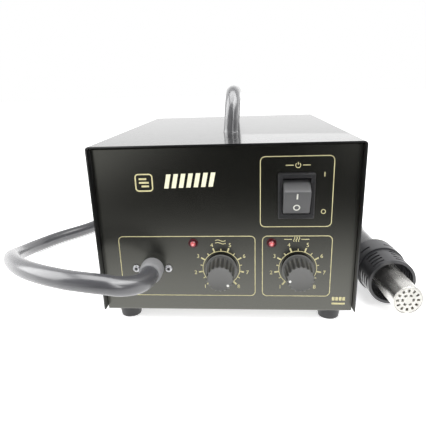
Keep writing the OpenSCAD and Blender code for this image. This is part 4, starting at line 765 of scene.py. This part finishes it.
# %% Signs in place of words
# power: a broken ring with an upright bar, between two dashes
POWER_X, POWER_Z = 50.3, 120.0
signs = [ring_mark(POWER_X, POWER_Z, 1.9, 0.45, 125, 415), bar(POWER_X, POWER_Z + 1.3, 0.45, 2.0)]
signs += [bar(POWER_X + off, POWER_Z + 0.1, 5.2, 0.5) for off in (-5.7, 5.7)]
# on and off: a bar and a ring
signs += [bar(68.2, 113.6, 0.55, 3.2), ring_mark(68.4, 87.2, 1.7, 0.5)]
# air: two strokes that wave along
AIR_SIGN_X, AIR_SIGN_Z = -3.7, 64.9
signs += [wave(AIR_SIGN_X, AIR_SIGN_Z + off, 7.6, 0.55, 0.5) for off in (-1.0, 1.0)]
# heat: three strokes that rise, between two dashes
HEAT_X, HEAT_Z = 50.7, 66.7
signs += [wave(HEAT_X + off, HEAT_Z, 3.6, 0.45, 0.5, upright=True) for off in (-1.7, 0, 1.7)]
signs += [bar(HEAT_X + off, HEAT_Z, 5.6, 0.5) for off in (-6.1, 6.1)]
# lower right: a row of four small blocks over one long bar
BLOCK_X, BLOCK_PITCH = 78.6, 2.55
signs += [bar(BLOCK_X + BLOCK_PITCH * k, 19.6, 1.9, 2.9, 0.3) for k in range(4)]
signs += [bar(82.4, 15.6, 9.6, 1.5, 0.3)]
# upper left: a plain rounded square with three bars
SQUARE_X, SQUARE_Z, SQUARE_HALF = -56.2, 109.5, 6.4
signs += [frame_line(SQUARE_X - SQUARE_HALF, SQUARE_X + SQUARE_HALF, SQUARE_Z - SQUARE_HALF,
                     SQUARE_Z + SQUARE_HALF, 2.6, 0.9)]
signs += [bar(SQUARE_X + dx, SQUARE_Z + dz, w, 1.3)
          for dx, dz, w in ((-0.8, 2.6, 5.4), (0, 0, 7.0), (0.8, -2.6, 5.4))]
# beside it: a row of slanted bars that climbs a little
SLANT_X, SLANT_Z, SLANT_PITCH, SLANT_CLIMB = -40.6, 110.2, 5.2, 0.14
slanted = [(-1.5, -5.0), (1.6, -5.0), (3.7, 5.0), (0.6, 5.0)]
row_of_bars = [moved(prism(slanted, 0, INK),
                     shift(SLANT_X + SLANT_PITCH * k, SLANT_Z + SLANT_CLIMB * k))
               for k in range(7)]
piece("panel_signs", *join(*signs), gold_print, "case", PANEL, sharp=40)
piece("panel_bars", *join(*row_of_bars), pale_gold, "case", PANEL, sharp=40)
print("signs:", len(signs))

# %% [markdown]
# ## Dial scales
# A scale is an arc with eight long and seven short ticks at equal steps, so a tree makes the ticks: it
# spreads points by angle and puts a small block on each, turned to point at the middle. The figures
# are text made into meshes, because text is the one thing here that a font already draws well.

# %% Tree: ticks by angle
ticks = Tree("ticks_by_angle", Radius=13.6, Length=3.4, Width=0.8, Thick=INK, Count=8, Start=0.0, Sweep=1.0)
long, wide, thick, count = (ticks.given(name) for name in ("Length", "Width", "Thick", "Count"))
angle = ticks.given("Start") + ticks.index() / (count - 1.0) * ticks.given("Sweep")
middle = ticks.given("Radius") + long * 0.5
block = ticks.node("GeometryNodeMeshCube", Size=ticks.point(long, wide, thick))
ticks.close(ticks.ring_of(block, count, angle, middle, thick * 0.5))

# %% The two scales
AIR_X, HEATER_X, DIAL_Z, SCALE_R, FIGURE_R = -3.5, 52.0, 44.0, 13.6, 19.4
FIGURES, FIRST_DEG, SWEEP_DEG = 8, 230, -280
STEP_DEG = SWEEP_DEG / (FIGURES - 1)


def figure(text, x, y, height):
    """A figure as (verts, faces), made from Blender's own font and centred."""
    curve = bpy.data.curves.new("figure", "FONT")
    curve.body = text
    curve.size = height / 0.7
    curve.align_x, curve.align_y = "CENTER", "CENTER"
    curve.resolution_u = 4
    curve.extrude = INK / 2
    made = result_of(in_scene("figure", curve))
    bpy.data.curves.remove(curve)
    return moved(made, shift(x, y, INK / 2))


for name, x in (("air_scale", AIR_X), ("heater_scale", HEATER_X)):
    sizes = {"Radius": SCALE_R - 0.2, "Thick": INK * 1.2}
    long_ticks = ticks.run(gold_print, **sizes, Length=3.6, Width=1.1, Count=FIGURES,
                           Start=math.radians(FIRST_DEG), Sweep=math.radians(SWEEP_DEG))
    short_ticks = ticks.run(gold_print, **sizes, Length=2.1, Width=0.7, Count=FIGURES - 1,
                            Start=math.radians(FIRST_DEG + STEP_DEG / 2),
                            Sweep=math.radians(SWEEP_DEG - STEP_DEG))
    line = ring_mark(0, 0, SCALE_R + 0.25, 0.5, FIRST_DEG + SWEEP_DEG, FIRST_DEG, 90)
    turns = [math.radians(FIRST_DEG + STEP_DEG * k) for k in range(FIGURES)]
    figures = [figure(str(k + 1), FIGURE_R * math.cos(a), FIGURE_R * math.sin(a), 3.0)
               for k, a in enumerate(turns)]
    scale = join(long_ticks, short_ticks, line, *figures)
    piece(name, *scale, gold_print, "case", on_front(x, DIAL_Z), sharp=40)
    print(name, len(scale[1]), "faces")

# %% [markdown]
# ## Dials
# A dial is a turned skirt and a fluted body with a flat face. It could be cut from a cylinder with
# eighteen round cutters. Here the body is turned from a profile, and the radius dips where a flute is,
# which gives clean faces that run along each flute.

# %% Dials
FLUTES, FLUTE_R = 18, 1.3
KNOB_BASE, KNOB_FACE, KNOB_REACH, SKIRT_R, SKIRT_TOP, DOT_R = 10.2, 9.5, 18.0, 11.5, 2.6, 7.4
AIR_SET, HEATER_SET = 133, -103


def fluted(angle, r, z):
    """The radius of the body at an angle: the flutes are round grooves."""
    if z <= SKIRT_TOP + 0.55 or r < 8.6:
        return r
    pitch = 2 * math.pi / FLUTES
    off = (angle + pitch / 2) % pitch - pitch / 2
    lean = (z - SKIRT_TOP) / (KNOB_REACH - SKIRT_TOP) * (KNOB_BASE - KNOB_FACE)
    centre = KNOB_BASE + 0.4 - lean
    inside = FLUTE_R ** 2 - (centre * math.sin(off)) ** 2
    if inside <= 0:
        return r
    return min(r, centre * math.cos(off) - math.sqrt(inside))


def groove_at(p):
    """1 deep in a flute and 0 on the ridges, for painted shade and dust that darken the flutes."""
    return min(1, max(0, (9.9 - math.hypot(p.x, p.y)) / 0.6)) if 3.3 < p.z < 17.3 else 0


def keep_number(obj, name, number_at, place):
    """Keeps a number on each vertex, worked out from where the vertex is in the piece's own frame."""
    numbers = [number_at(place.inverted() @ v.co) for v in obj.data.vertices]
    obj.data.attributes.new(name, "FLOAT", "POINT").data.foreach_set("value", numbers)


knob_side = [(9.9, 3.15), (10.17, 3.25), (10.16, 3.7)]
knob_side += [(KNOB_BASE - 0.7 * i / 8, SKIRT_TOP + 15.4 * i / 8) for i in range(1, 8)]
skirt = [(0, 0.8), (10.9, 0.8), (SKIRT_R, 1.1), (SKIRT_R, 2.2)] + arc(11.1, 2.2, 0.4, 0, 90, 4)
knob_end = [(9.52, 17.45)] + arc(9.05, 17.5, 0.5, 5, 90, 5)
knob_end += [(8.7, 18.0), (8.5, 17.93), (8.3, 17.85), (0, 17.8)]
knob_profile = skirt + [(10.15, SKIRT_TOP + 0.02), (10.1, 3.1)] + knob_side + knob_end
dot_profile = [(0, 17.6), (0.95, 17.6), (0.95, 17.85), (0.8, 17.95), (0, 17.98)]
for name, x, setting in (("air", AIR_X, AIR_SET), ("heater", HEATER_X, HEATER_SET)):
    body, place = name + "_dial", on_front(x, DIAL_Z)
    knob = piece(body, *lathe(knob_profile, FLUTES * 20, radius=fluted), knob_black, body, place, sharp=35,
                 replaced=[name + "_knob"])
    keep_number(knob, "groove", groove_at, place)
    a = math.radians(90 - setting)
    dot = moved(lathe(dot_profile, 24), shift(DOT_R * math.cos(a), DOT_R * math.sin(a)))
    piece(body + "_dot", *dot, white_dot, body, place, sharp=50)
print("dials: %d flutes each" % FLUTES)

# %% [markdown]
# ## Power switch
# The switch is a moulded frame with a rocker in it. The rocker's flat front leans back, so its upper
# end stands out and catches the light from above. It is one bevelled block turned about its pin, and
# its two marks are thin printed solids that ride with it.

# %% Switch
SWITCH = on_front(49.5, 98.8)
BEZEL_W, BEZEL_H, BEZEL_T, HOLE_W, HOLE_H = 25.4, 32.5, 2.5, 18.9, 25.0
CAVITY, BODY_W, BODY_H, BODY_DEPTH = 13, 22.4, 28.2, 24
frame_slices = [
    (HOLE_W, HOLE_H, 0.5, -CAVITY), (HOLE_W, HOLE_H, 0.5, BEZEL_T - 0.7),
    (HOLE_W + 0.5, HOLE_H + 0.5, 0.6, BEZEL_T - 0.2), (HOLE_W + 1.2, HOLE_H + 1.2, 0.8, BEZEL_T),
    (BEZEL_W - 1.8, BEZEL_H - 1.8, 0.9, BEZEL_T), (BEZEL_W - 0.8, BEZEL_H - 0.8, 1.1, BEZEL_T * 0.88),
    (BEZEL_W - 0.2, BEZEL_H - 0.2, 1.2, BEZEL_T * 0.6), (BEZEL_W, BEZEL_H, 1.2, BEZEL_T * 0.4),
    (BEZEL_W, BEZEL_H, 1.2, 0), (BODY_W, BODY_H, 0.6, 0), (BODY_W, BODY_H, 0.6, -BODY_DEPTH),
]
housing = loft([at_height(rounded(w, h, r, 3), z) for w, h, r, z in frame_slices])
piece("switch_frame", *housing, switch_black, "case", SWITCH, sharp=25, replaced=["switch_housing"])

ROCKER_LEAN, ROCKER_W, FACE_Z, FACE_HALF = 18, 18.4, 12.2, 8.8
ROCKER = SWITCH @ shift(0, 0, -6) @ turn(ROCKER_LEAN, "X")
lower_end = [(-7, -3.5), (-11.6, 0), (-11.15, 4.0), (-10.4, 7.2)]
lower_end += [(-FACE_HALF + dy, FACE_Z + dz)
              for dy, dz in ((-0.6, -2.2), (-0.2, -0.75), (0.25, -0.15), (0.9, 0))]
side_view = lower_end + [(-y, z) for y, z in lower_end[::-1]]


def slice_at(x, inset):
    """The rocker's side view at x, pulled in a little towards its middle."""
    return [(x, y - math.copysign(inset, y), z - (inset if z > 0 else -inset)) for y, z in side_view]


half = ROCKER_W / 2
rocker = loft([slice_at(-half, 0.6), slice_at(-half + 0.18, 0.2), slice_at(-half + 0.6, 0),
               slice_at(half - 0.6, 0), slice_at(half - 0.18, 0.2), slice_at(half, 0.6)])
pin_profile = [(0, -10.4), (1.5, -10.4), (1.5, 10.4), (0, 10.4)]
pin = moved(lathe(pin_profile, 32), turn(90, "Y"))
piece("rocker", *join(rocker, pin), rocker_black, "rocker", ROCKER, sharp=22, replaced=["switch_rocker"])
marks = moved(join(bar(0, 5.2, 1.0, 4.2, 0.1), ring_mark(0, -3.7, 2.4, 0.85)),
              shift(0, 0, FACE_Z - 0.02))
piece("rocker_marks", *marks, cream_print, "rocker", ROCKER, sharp=40)
print("switch built, rocker face leans %d degrees" % ROCKER_LEAN)

# %% [markdown]
# ## Lamps, hose outlet and screws
# Small round things on the panel are turned. The screws are two shapes, each copied to its places by
# the tree of copies: the screw, and a black disc in its socket that is painted shade.

# %% Lamps
LAMP_Z, LAMP_BACK, RING_R, LENS_R, LAMP_X = 64.0, -6.0, 3.6, 2.4, (-23.5, 33.0)
ring = lathe([(LENS_R + 0.05, LAMP_BACK), (3.0, LAMP_BACK), (3.0, 0), (RING_R, 0), (RING_R, 0.45)]
             + arc(RING_R - 0.4, 0.5, 0.4, 0, 75, 4) + [(2.75, 1.0), (LENS_R + 0.05, 0.8)], 64, closed=True)
lens_back = [(0, LAMP_BACK - 1), (3.0, LAMP_BACK - 1), (3.0, LAMP_BACK), (LENS_R, LAMP_BACK), (LENS_R, 1.0)]
dome = lathe(lens_back + arc(0, 1.0, LENS_R, 9, 81, 8) + [(0, 1.0 + LENS_R)], 48)
leg = lathe([(0, LAMP_BACK - 7), (0.3, LAMP_BACK - 7), (0.3, LAMP_BACK - 0.9), (0, LAMP_BACK - 0.9)], 12)
lamp_places = [shift(x, LAMP_Z) for x in LAMP_X]
legs = [moved(leg, at @ shift(dx, 0)) for at in lamp_places for dx in (-1.27, 1.27)]
piece("lamp_bezels", *join(*[moved(ring, at) for at in lamp_places]), lamp_rim, "case", PANEL, sharp=40,
      replaced=["lamp_rings"])
domes = piece("lamp_domes", *join(*[moved(dome, at) for at in lamp_places], *legs), red_lens, "case",
              PANEL, sharp=60, replaced=["lamp_lenses"])


def from_axis(p):
    """The distance from the nearer lamp's axis, as a share of the lens."""
    return min(math.hypot(p.x - x, p.y - LAMP_Z) for x in LAMP_X) / LENS_R


keep_number(domes, "from_axis", from_axis, PANEL)
# painted highlight: the lens is pale pink in its middle and darkens to deep red at its rim, in place of the
# lights mirrored on the dome
color_by(red_lens, "from_axis", [(0, (1.0, 0.4, 0.4)), (0.2, (0.95, 0.3, 0.31)), (0.5, (0.5, 0.06, 0.07)),
                                 (0.8, (0.22, 0.015, 0.025)), (1, (0.07, 0.004, 0.008))])
print("two lamps ready")

# %% Hose outlet
OUTLET, SHEET, FLANGE_T, TAIL_R, TAIL_LEN, BORE_R = on_front(OUTLET_X, OUTLET_Z), 1.2, 2.5, 5.0, 14.0, 2.5
back_of_flange = -SHEET - FLANGE_T
tail_end = back_of_flange - TAIL_LEN
tail = [(BORE_R, tail_end), (TAIL_R, tail_end), (TAIL_R, back_of_flange + 0.5)]
neck = [(7.4, back_of_flange + 0.5), (7.4, 0), (8.5, 0), (8.5, 7)] + arc(7.25, 7, 1.25, 10, 90, 8, tall=4)
mouth = lathe(tail + neck + [(6.95, OUTLET_REACH), (6.7, 10.9), (BORE_R, 10.9)], 96, closed=True)
plate_edge = rounded(34.4, 20, 4, 23)
plate_bore = [(7.3 * x / math.hypot(x, y), 7.3 * y / math.hypot(x, y)) for x, y in plate_edge]
plate = hoop(plate_edge, plate_bore, back_of_flange, -SHEET)
piece("outlet_sleeve", *join(mouth, plate), outlet_rubber, "case", OUTLET, sharp=40,
      replaced=["hose_outlet"])
print("outlet:", len(mouth[1]) + len(plate[1]), "faces")

# %% Outlet screws
SCREW_R, HEAD_R, HEAD_T, SOCKET_R, NUT_R = 1.45, 2.8, 1.6, 1.25, 2.75


def six_sided(angle, r, z):
    """The socket and the nut are hexagons, the rest of the screw is round."""
    in_socket, in_nut = z > 0.35 and r < 1.3, z < back_of_flange + 0.01 and r > 2
    if not (in_socket or in_nut):
        return r
    return r * math.cos(math.radians(30)) / math.cos((angle % math.radians(60)) - math.radians(30)) * 1.06


shank_end, nut_end = back_of_flange - 3.4, back_of_flange - 2.4
screw_profile = (
    [(0, 0.4), (SOCKET_R - 0.1, 0.4), (SOCKET_R, HEAD_T - 0.15), (SOCKET_R + 0.25, HEAD_T)]
    + arc(1.55, 0.55, 1.25, 90, 0, 6, tall=1.05)
    + [(HEAD_R, 0), (SCREW_R, 0), (SCREW_R, back_of_flange), (NUT_R, back_of_flange), (NUT_R, nut_end),
       (SCREW_R, nut_end), (SCREW_R, shank_end), (0, shank_end)]
)
outlet_places = [((dx, 0, 0), (0, 0, a)) for dx, a in ((-12.2, 0.5), (12.2, 1.1))]
outlet_fixings = copies_of(lathe(screw_profile, 72, radius=six_sided), outlet_places, zinc)
piece("outlet_fixings", *outlet_fixings, zinc, "case", OUTLET, sharp=35, replaced=["outlet_screws"])
# painted shade: a black disc in each hex socket makes the socket look dark
socket_shade_disc = lathe([(0, 0.42), (1.16, 0.42), (1.16, 0.95), (0, 0.95)], 24)
socket_shade_discs = copies_of(socket_shade_disc, outlet_places, black_screw)
piece("outlet_sockets", *socket_shade_discs, black_screw, "case", OUTLET, sharp=35)
print("outlet screws:", len(outlet_fixings[1]), "faces")

# %% [markdown]
# ## Hot air gun, front end
# The air comes out of a thin steel pipe. Its end is closed by a ceramic disc with two rings of small
# holes. The pipe is turned with a rolled lip. The disc follows a rule, so a tree makes it: blocks on
# two circles are cut out of a round plate.

# %% Pipe
PIPE_R, NECK_R, PIPE_WALL, PIPE_REACH, PIPE_END, FLANGE_R = 11.0, 10.8, 0.8, 28.5, 63.3, 15.0
bore = PIPE_R - PIPE_WALL
pipe_profile = (
    [(bore, 0.3)] + arc(bore + 0.4, 0.4, 0.4, 180, 360, 8)
    + [(PIPE_R, 0.6), (PIPE_R, PIPE_REACH), (NECK_R, PIPE_REACH + 0.3), (NECK_R, PIPE_END - 1.5),
       (FLANGE_R, PIPE_END - 1.5), (FLANGE_R, PIPE_END), (bore, PIPE_END)]
)
pipe = piece("nozzle_pipe", *lathe(pipe_profile, 128, closed=True), pipe_steel, "gun", on_gun(0),
             sharp=40, replaced=["gun_pipe"])
print("pipe:", len(pipe.data.polygons), "faces")

# %% Tree: pierced disc
disc = Tree("pierced_disc", Radius=10.1, Thick=2.0, Outer_circle=7.5, Outer_holes=12, Outer_long=2.4,
            Outer_wide=1.5, Inner_circle=3.9, Inner_holes=6, Inner_long=1.5, Inner_wide=2.2)
CUTTER_H = 6.0


def holes_on(which):
    """Blocks on the outer or the inner circle, each turned to point at the middle."""
    circle, count, long, wide = (disc.given(which + part)
                                 for part in ("_circle", "_holes", "_long", "_wide"))
    cutter = disc.node("GeometryNodeMeshCube", Size=disc.point(long, wide, CUTTER_H))
    holes = disc.ring_of(cutter, count, disc.index() * (2 * math.pi / count), circle, 0.0)
    return disc.node("GeometryNodeRealizeInstances", Geometry=holes)


blank = disc.node("GeometryNodeMeshCylinder", Vertices=96, Radius=disc.given("Radius"),
                  Depth=disc.given("Thick"))
cut = disc.node("GeometryNodeMeshBoolean", {"operation": "DIFFERENCE", "solver": "EXACT"}, Mesh_1=blank)
for which in ("Outer", "Inner"):
    feed(disc.group, cut.inputs["Mesh 2"], holes_on(which))
disc.close(cut)
face_plate = moved(disc.run(ceramic, Thick=0.9, Outer_wide=1.8, Inner_long=1.7), shift(0, 0, 0.75))
rim = lathe([(9.2, 1.1), (10.08, 1.1), (10.08, 2.3), (9.2, 2.3)], 96, closed=True)
pierced = piece("air_disc", *join(face_plate, rim), ceramic, "gun", on_gun(0), sharp=30,
                replaced=["heater_disc"], bevel=0.1)
print("disc:", len(pierced.data.polygons), "faces after cutting 18 holes")

# %% [markdown]
# ## Slotted collar and guard
# Behind the pipe sits a moulded collar with rows of slots that let its heat out, and behind that a
# wider ring with one row. A real mould leaves bridges between the slots. Cutting every slot with a
# boolean would leave untidy faces on a curved wall, so this tree works the other way round. It lays a
# grid out flat, deletes the faces where slots go, wraps the rest round the axis, and then gives the
# sheet its wall. Every edge of a slot is then a clean edge of the grid.

# %% Tree: slotted tube
STEPS_PER_COLUMN = 30
slotted = Tree("slotted_tube", Columns=6, Rows=4, Open_share=0.533, First=4.6, Pitch=4.7, Slot=2.0,
               Height=22.8, Radius=18.5, Radius_end=18.9, Wall=2.2, Turn=0.0)
given = slotted.given
strips = given("Rows") * 2.0 + 1.0
sheet = slotted.node("GeometryNodeMeshGrid", Size_X=1.0, Size_Y=1.0, Vertices_Y=strips + 1.0,
                     Vertices_X=given("Columns") * float(STEPS_PER_COLUMN) + 1.0)
x, y, _ = slotted.place()
u, v = x + 0.5, y + 0.5
in_slot_row = (v * strips).to("FLOOR") % 2.0 > 0.5
in_slot = in_slot_row * ((u * given("Columns")).to("FRACT") < given("Open_share"))
pierced_sheet = slotted.node("GeometryNodeDeleteGeometry", {"domain": "FACE"}, Geometry=sheet,
                             Selection=in_slot)
# where each row of vertices ends up along the axis
row = (v * strips).to("ROUND")
slot_no = ((row - 1.0) / 2.0).to("FLOOR")
far_edge = 1.0 - row % 2.0
edge = given("First") + slot_no * given("Pitch") + (far_edge - 0.5) * given("Slot")
at_end = row > strips - 0.5
z = (row > 0.5) * (row < strips - 0.5) * edge + at_end * given("Height")
r = given("Radius") + z / given("Height") * (given("Radius_end") - given("Radius"))
round_place = slotted.around(u * (2 * math.pi) + given("Turn"), r, z)
wrapped = slotted.node("GeometryNodeSetPosition", Geometry=pierced_sheet, Position=round_place)
seamless = slotted.node("GeometryNodeMergeByDistance", Geometry=wrapped, Distance=0.001)
x, y, _ = slotted.place()
outward = slotted.node("ShaderNodeVectorMath", {"operation": "NORMALIZE"}, Vector=slotted.point(x, y, 0.0))
walled = slotted.node("GeometryNodeExtrudeMesh", {"mode": "FACES"}, Mesh=seamless, Offset=outward,
                      Offset_Scale=given("Wall") * -1.0, Individual=False)
both = slotted.node("GeometryNodeJoinGeometry")
for half_wall in (walled, seamless):
    feed(slotted.group, both.inputs[0], half_wall)
slotted.close(slotted.node("GeometryNodeMergeByDistance", Geometry=both, Distance=0.001))

# %% Collar
COLLAR_S, COLLAR_SLOT = 28.5, 16
DEG_PER_STEP = 360 / 6 / STEPS_PER_COLUMN
wall = slotted.run(matt_black, Open_share=COLLAR_SLOT / STEPS_PER_COLUMN,
                   Turn=math.radians(-125 - COLLAR_SLOT * DEG_PER_STEP / 2))
lip_profile = [(16.32, 1.6), (16.3, 0.6), (16.55, 0.2)] + arc(18.0, 0.55, 0.55, -90, 0, 5) + [(18.56, 1.6)]
lip = lathe(lip_profile, 180, closed=True)
floor_ring = lathe([(11.3, 20.4), (18.7, 20.4), (18.92, 20.6), (18.92, 22.5), (18.7, 22.8), (11.3, 22.8)],
                   180, closed=True)
collar = piece("vent_collar", *join(wall, lip, floor_ring), gun_black, "gun", on_gun(COLLAR_S), sharp=35,
               replaced=["gun_collar"])
print("collar:", len(collar.data.polygons), "faces")

# %% Guard ring
GUARD_S, GUARD_LEN, GUARD_SLOT = 51.3, 20.2, 13
wall = slotted.run(matt_black, Rows=1, Open_share=GUARD_SLOT / STEPS_PER_COLUMN, First=7.2,
                   Height=GUARD_LEN, Radius=20.2, Radius_end=20.2, Wall=2.4,
                   Turn=math.radians(-128 - GUARD_SLOT * DEG_PER_STEP / 2))
front_profile = [(11.3, 0.02), (19.3, 0)] + arc(19.42, 0.8, 0.8, -90, 0, 6)
front_profile += [(20.22, 2.0), (17.8, 2.4), (11.3, 2.4)]
back_profile = [(17.8, 18.6), (20.22, 18.6)] + arc(19.62, 19.6, 0.6, 0, 90, 5) + [(17.8, 20.2)]
web = lathe([(9.0, 12), (19.0, 12), (19.0, 15), (9.0, 15)], 96, closed=True)
walls = [wall, lathe(front_profile, 180, closed=True), web, lathe(back_profile, 180, closed=True)]
guard = piece("guard_ring", *join(*walls), gun_black, "gun", on_gun(GUARD_S), sharp=35,
              replaced=["gun_guard"])
print("guard:", len(guard.data.polygons), "faces")

# %% [markdown]
# ## Grip, tail and sleeve
# The grip is moulded to the hand: a waist behind the guard for the thumb, a swelling for the palm, and
# a wider end. Its radius is one function of the distance along the gun, made of smooth cosine steps.

# %% Grip
GRIP_S, GRIP_LEN, GRIP_WALL = 71.5, 118.0, 2.2
# places along the grip, and the radius there
BEHIND_GUARD, WAIST, PALM, REAR = (0, 17.2), (8, 13.5), (84, 17.0), (113, 20.2)
WAIST_END = 46


def swell(s, start, end, a, b):
    t = min(1, max(0, (s - start) / (end - start)))
    return a + (b - a) * (1 - math.cos(math.pi * t)) / 2


def grip_radius(s):
    if s < WAIST[0]:
        return swell(s, BEHIND_GUARD[0], WAIST[0], BEHIND_GUARD[1], WAIST[1])
    if s < PALM[0]:
        return swell(s, WAIST_END, PALM[0], WAIST[1], PALM[1])
    return swell(s, PALM[0], REAR[0], PALM[1], REAR[1])


stations = [GRIP_LEN * i / 90 for i in range(91)]
outer_side = [(grip_radius(s), s) for s in stations]
inner_side = [(r - GRIP_WALL, s) for r, s in outer_side[::-1]]
grip = piece("grip", *lathe(outer_side + inner_side, 128, closed=True), grip_black, "gun", on_gun(GRIP_S),
             sharp=40, replaced=["gun_grip"])
print("grip:", len(grip.data.polygons), "faces")

# %% Tail and sleeve
TAIL_S, BOOT_S, BOOT_R, BOOT_LEN, RIBS, RIB_PITCH = 189.5, 197.5, 9.5, 28.0, 5, 5.09
tail_profile = [(7.1, 0), (20.0, 0), (20.2, 0.2), (20.2, 2.2), (19.95, 3.1), (18.7, 5.1), (17.2, 6.4),
                (15.2, 7.3), (13.8, 7.8), (12.2, 8.0), (7.1, 8.0)]
piece("grip_end", *lathe(tail_profile, 128, closed=True), grip_black, "gun", on_gun(TAIL_S), sharp=40,
      replaced=["gun_tail"])
boot_profile = [(0, 0), (BOOT_R, 0)]
for i in range(1, RIBS + 1):
    at = i * RIB_PITCH - 1
    outer = BOOT_R - 2.0 * at / BOOT_LEN
    groove = (outer - 9.0) * 0.6
    boot_profile += [(outer, at - 0.25), (outer - 0.25, at), (7.55 + groove, at + 0.2),
                     (7.5 + groove, at + 1.1), (outer - 0.3, at + 1.35), (outer - 0.1, at + 1.6)]
boot_profile += [(7.6, 27.2), (7.35, 27.8), (7.0, BOOT_LEN), (0, BOOT_LEN)]
piece("hose_sleeve", *lathe(boot_profile, 96), black_rubber, "gun", on_gun(BOOT_S), sharp=40,
      replaced=["gun_boot"])
print("grip end and hose sleeve ready")

# %% [markdown]
# ## Floor, light and background
# The object stands on a white ground in soft light from above. A white floor that is lit until it
# clips would also wash out the object. So the lights stay plain, and the floor only adds a glow for
# rays from the camera, which leaves the object's soft shadow where it touches. Glossy paint mirrors the
# floor, so mirrored rays get one that is bright beside the case and dark far in front.

# %% Floor
def either(tree, share, first, second):
    """The first shader where share is 0 and the second where it is 1."""
    node = add(tree, "ShaderNodeMixShader")
    for plug, value in zip(node.inputs, (share, first, second)):
        feed(tree, plug, value)
    return node


WHITE = (1, 1, 1, 1)
FLOOR, FLOOR_GREY = 6.0, 0.8
floor_mat = bpy.data.materials.new("pale_floor")
floor_mat.use_nodes = True
into_shader(floor_mat, Base_Color=(FLOOR_GREY, FLOOR_GREY, FLOOR_GREY, 1), Roughness=0.9,
            Specular_IOR_Level=0.0)
tree = floor_mat.node_tree
rays = add(tree, "ShaderNodeLightPath")
on_floor = add(tree, "ShaderNodeTexCoord").outputs["Object"]
east, north, _ = apart(tree, on_floor)
reach = add(tree, "ShaderNodeVectorMath", {"operation": "LENGTH"}, Vector=on_floor)
glow = Number(tree, reach.outputs["Value"]).ramp(0.35, 1.4, 0.62, 1.0)
to_camera = Number(tree, rays.outputs["Is Camera Ray"])
added = add(tree, "ShaderNodeAddShader")
feed(tree, added.inputs[0], tree.nodes["Principled BSDF"])
feed(tree, added.inputs[1], add(tree, "ShaderNodeEmission", Color=WHITE, Strength=to_camera * glow))
# what the gloss mirrors: bright near the front, at both sides and behind, dark far in front
near = (-ORIGIN_Y * MM - north).ramp(0.0, 0.4, 1.3, 0.0)
on_left, on_right = east.ramp(-0.45, -0.22, 1.2, 0.0), east.ramp(0.22, 0.5, 0.0, 0.7)
beside = on_left.to("MAXIMUM", on_right).to("MAXIMUM", north.ramp(-0.05, 0.2, 0.0, 1.0))
mirrored = add(tree, "ShaderNodeEmission", Color=WHITE, Strength=(near * near).to("MAXIMUM", beside))
feed(tree, tree.nodes["Material Output"].inputs["Surface"],
     either(tree, rays.outputs["Is Glossy Ray"], added, mirrored))
mesh = bpy.data.meshes.new("floor")
mesh.from_pydata([(-FLOOR, -FLOOR, 0), (FLOOR, -FLOOR, 0), (FLOOR, FLOOR, 0), (-FLOOR, FLOOR, 0)], [],
                 [(0, 1, 2, 3)])
mesh.materials.append(floor_mat)
in_scene("floor", mesh)
print("floor:", len(tree.nodes), "nodes")

# %% [markdown]
# The camera sees plain white around the object. Glossy paint mirrors something else: a sky that is
# white behind, darker overhead and dark in front, with one brighter panel. All other rays get a plain
# low level.

# %% Surroundings
PLAIN_LEVEL = 0.32
world = bpy.data.worlds.new("studio")
bpy.context.scene.world = world
world.use_nodes = True
tree = world.node_tree
tree.nodes.clear()
east, north, above = apart(tree, add(tree, "ShaderNodeTexCoord").outputs["Generated"])
# white low down behind, darker overhead, dark in front
sky = above.ramp(0.5, 0.8, 1.0, 0.3) * north.ramp(-0.6, 0.2, 0.06, 1.0)
# one brighter panel low behind the right half, which the cover's top mirrors
panel = above.ramp(0.1155, 0.1175, 0.0, 0.28) * above.ramp(0.15, 0.2, 1.0, 0.0)
panel = panel * (east / north).ramp(-0.013, -0.008, 0.0, 1.0) * north.ramp(0.5, 0.6, 0.0, 1.0)
rays = add(tree, "ShaderNodeLightPath")
mirrored, plain, white = (add(tree, "ShaderNodeBackground", Color=WHITE, Strength=level)
                          for level in (sky + panel, PLAIN_LEVEL, 1.0))
unseen = either(tree, rays.outputs["Is Glossy Ray"], plain, mirrored)
add(tree, "ShaderNodeOutputWorld", Surface=either(tree, rays.outputs["Is Camera Ray"], unseen, white))
print("surroundings:", len(tree.nodes), "nodes")

# %% [markdown]
# Five soft boxes light the object: a wide one above, one on the left, one on the right with a tall
# strip beside it that gives round bars a second streak, and a weak one at the front left. The weak one
# only fills the front, so gloss doesn't mirror it.

# %% Soft lights
def softbox(name, where, aim, size, watts, mirrored=True):
    """An oblong area light at a place in case millimetres, aimed at another."""
    light = bpy.data.lights.new(name, "AREA")
    light.shape = "RECTANGLE"
    light.size, light.size_y = size[0] * MM, size[1] * MM
    light.energy = watts
    obj = in_scene(name, light)
    obj.visible_glossy, obj.visible_camera = mirrored, False
    here, there = CASE @ Vector(where), CASE @ Vector(aim)
    facing = (there - here).to_track_quat("-Z", "Y").to_matrix().to_4x4()
    obj.matrix_world = Matrix.Translation(here) @ facing
    return obj


softbox("above", (60, -20, 900), (60, -19, 80), (1000, 820), 9.0)
softbox("left", (-930, -80, 560), (-60, 0, 60), (1000, 1000), 12.0)
softbox("right", (600, -120, 745), (-50, -25, 50), (800, 420), 4.5)
softbox("right_strip", (520, -667, 620), (3, 70, 330), (190, 1050), 3.0)
softbox("front_left", (-500, -700, 650), (0, 0, 60), (500, 400), 1.3, mirrored=False)

# %% Finish
bpy.context.scene.view_settings.view_transform = "Standard"
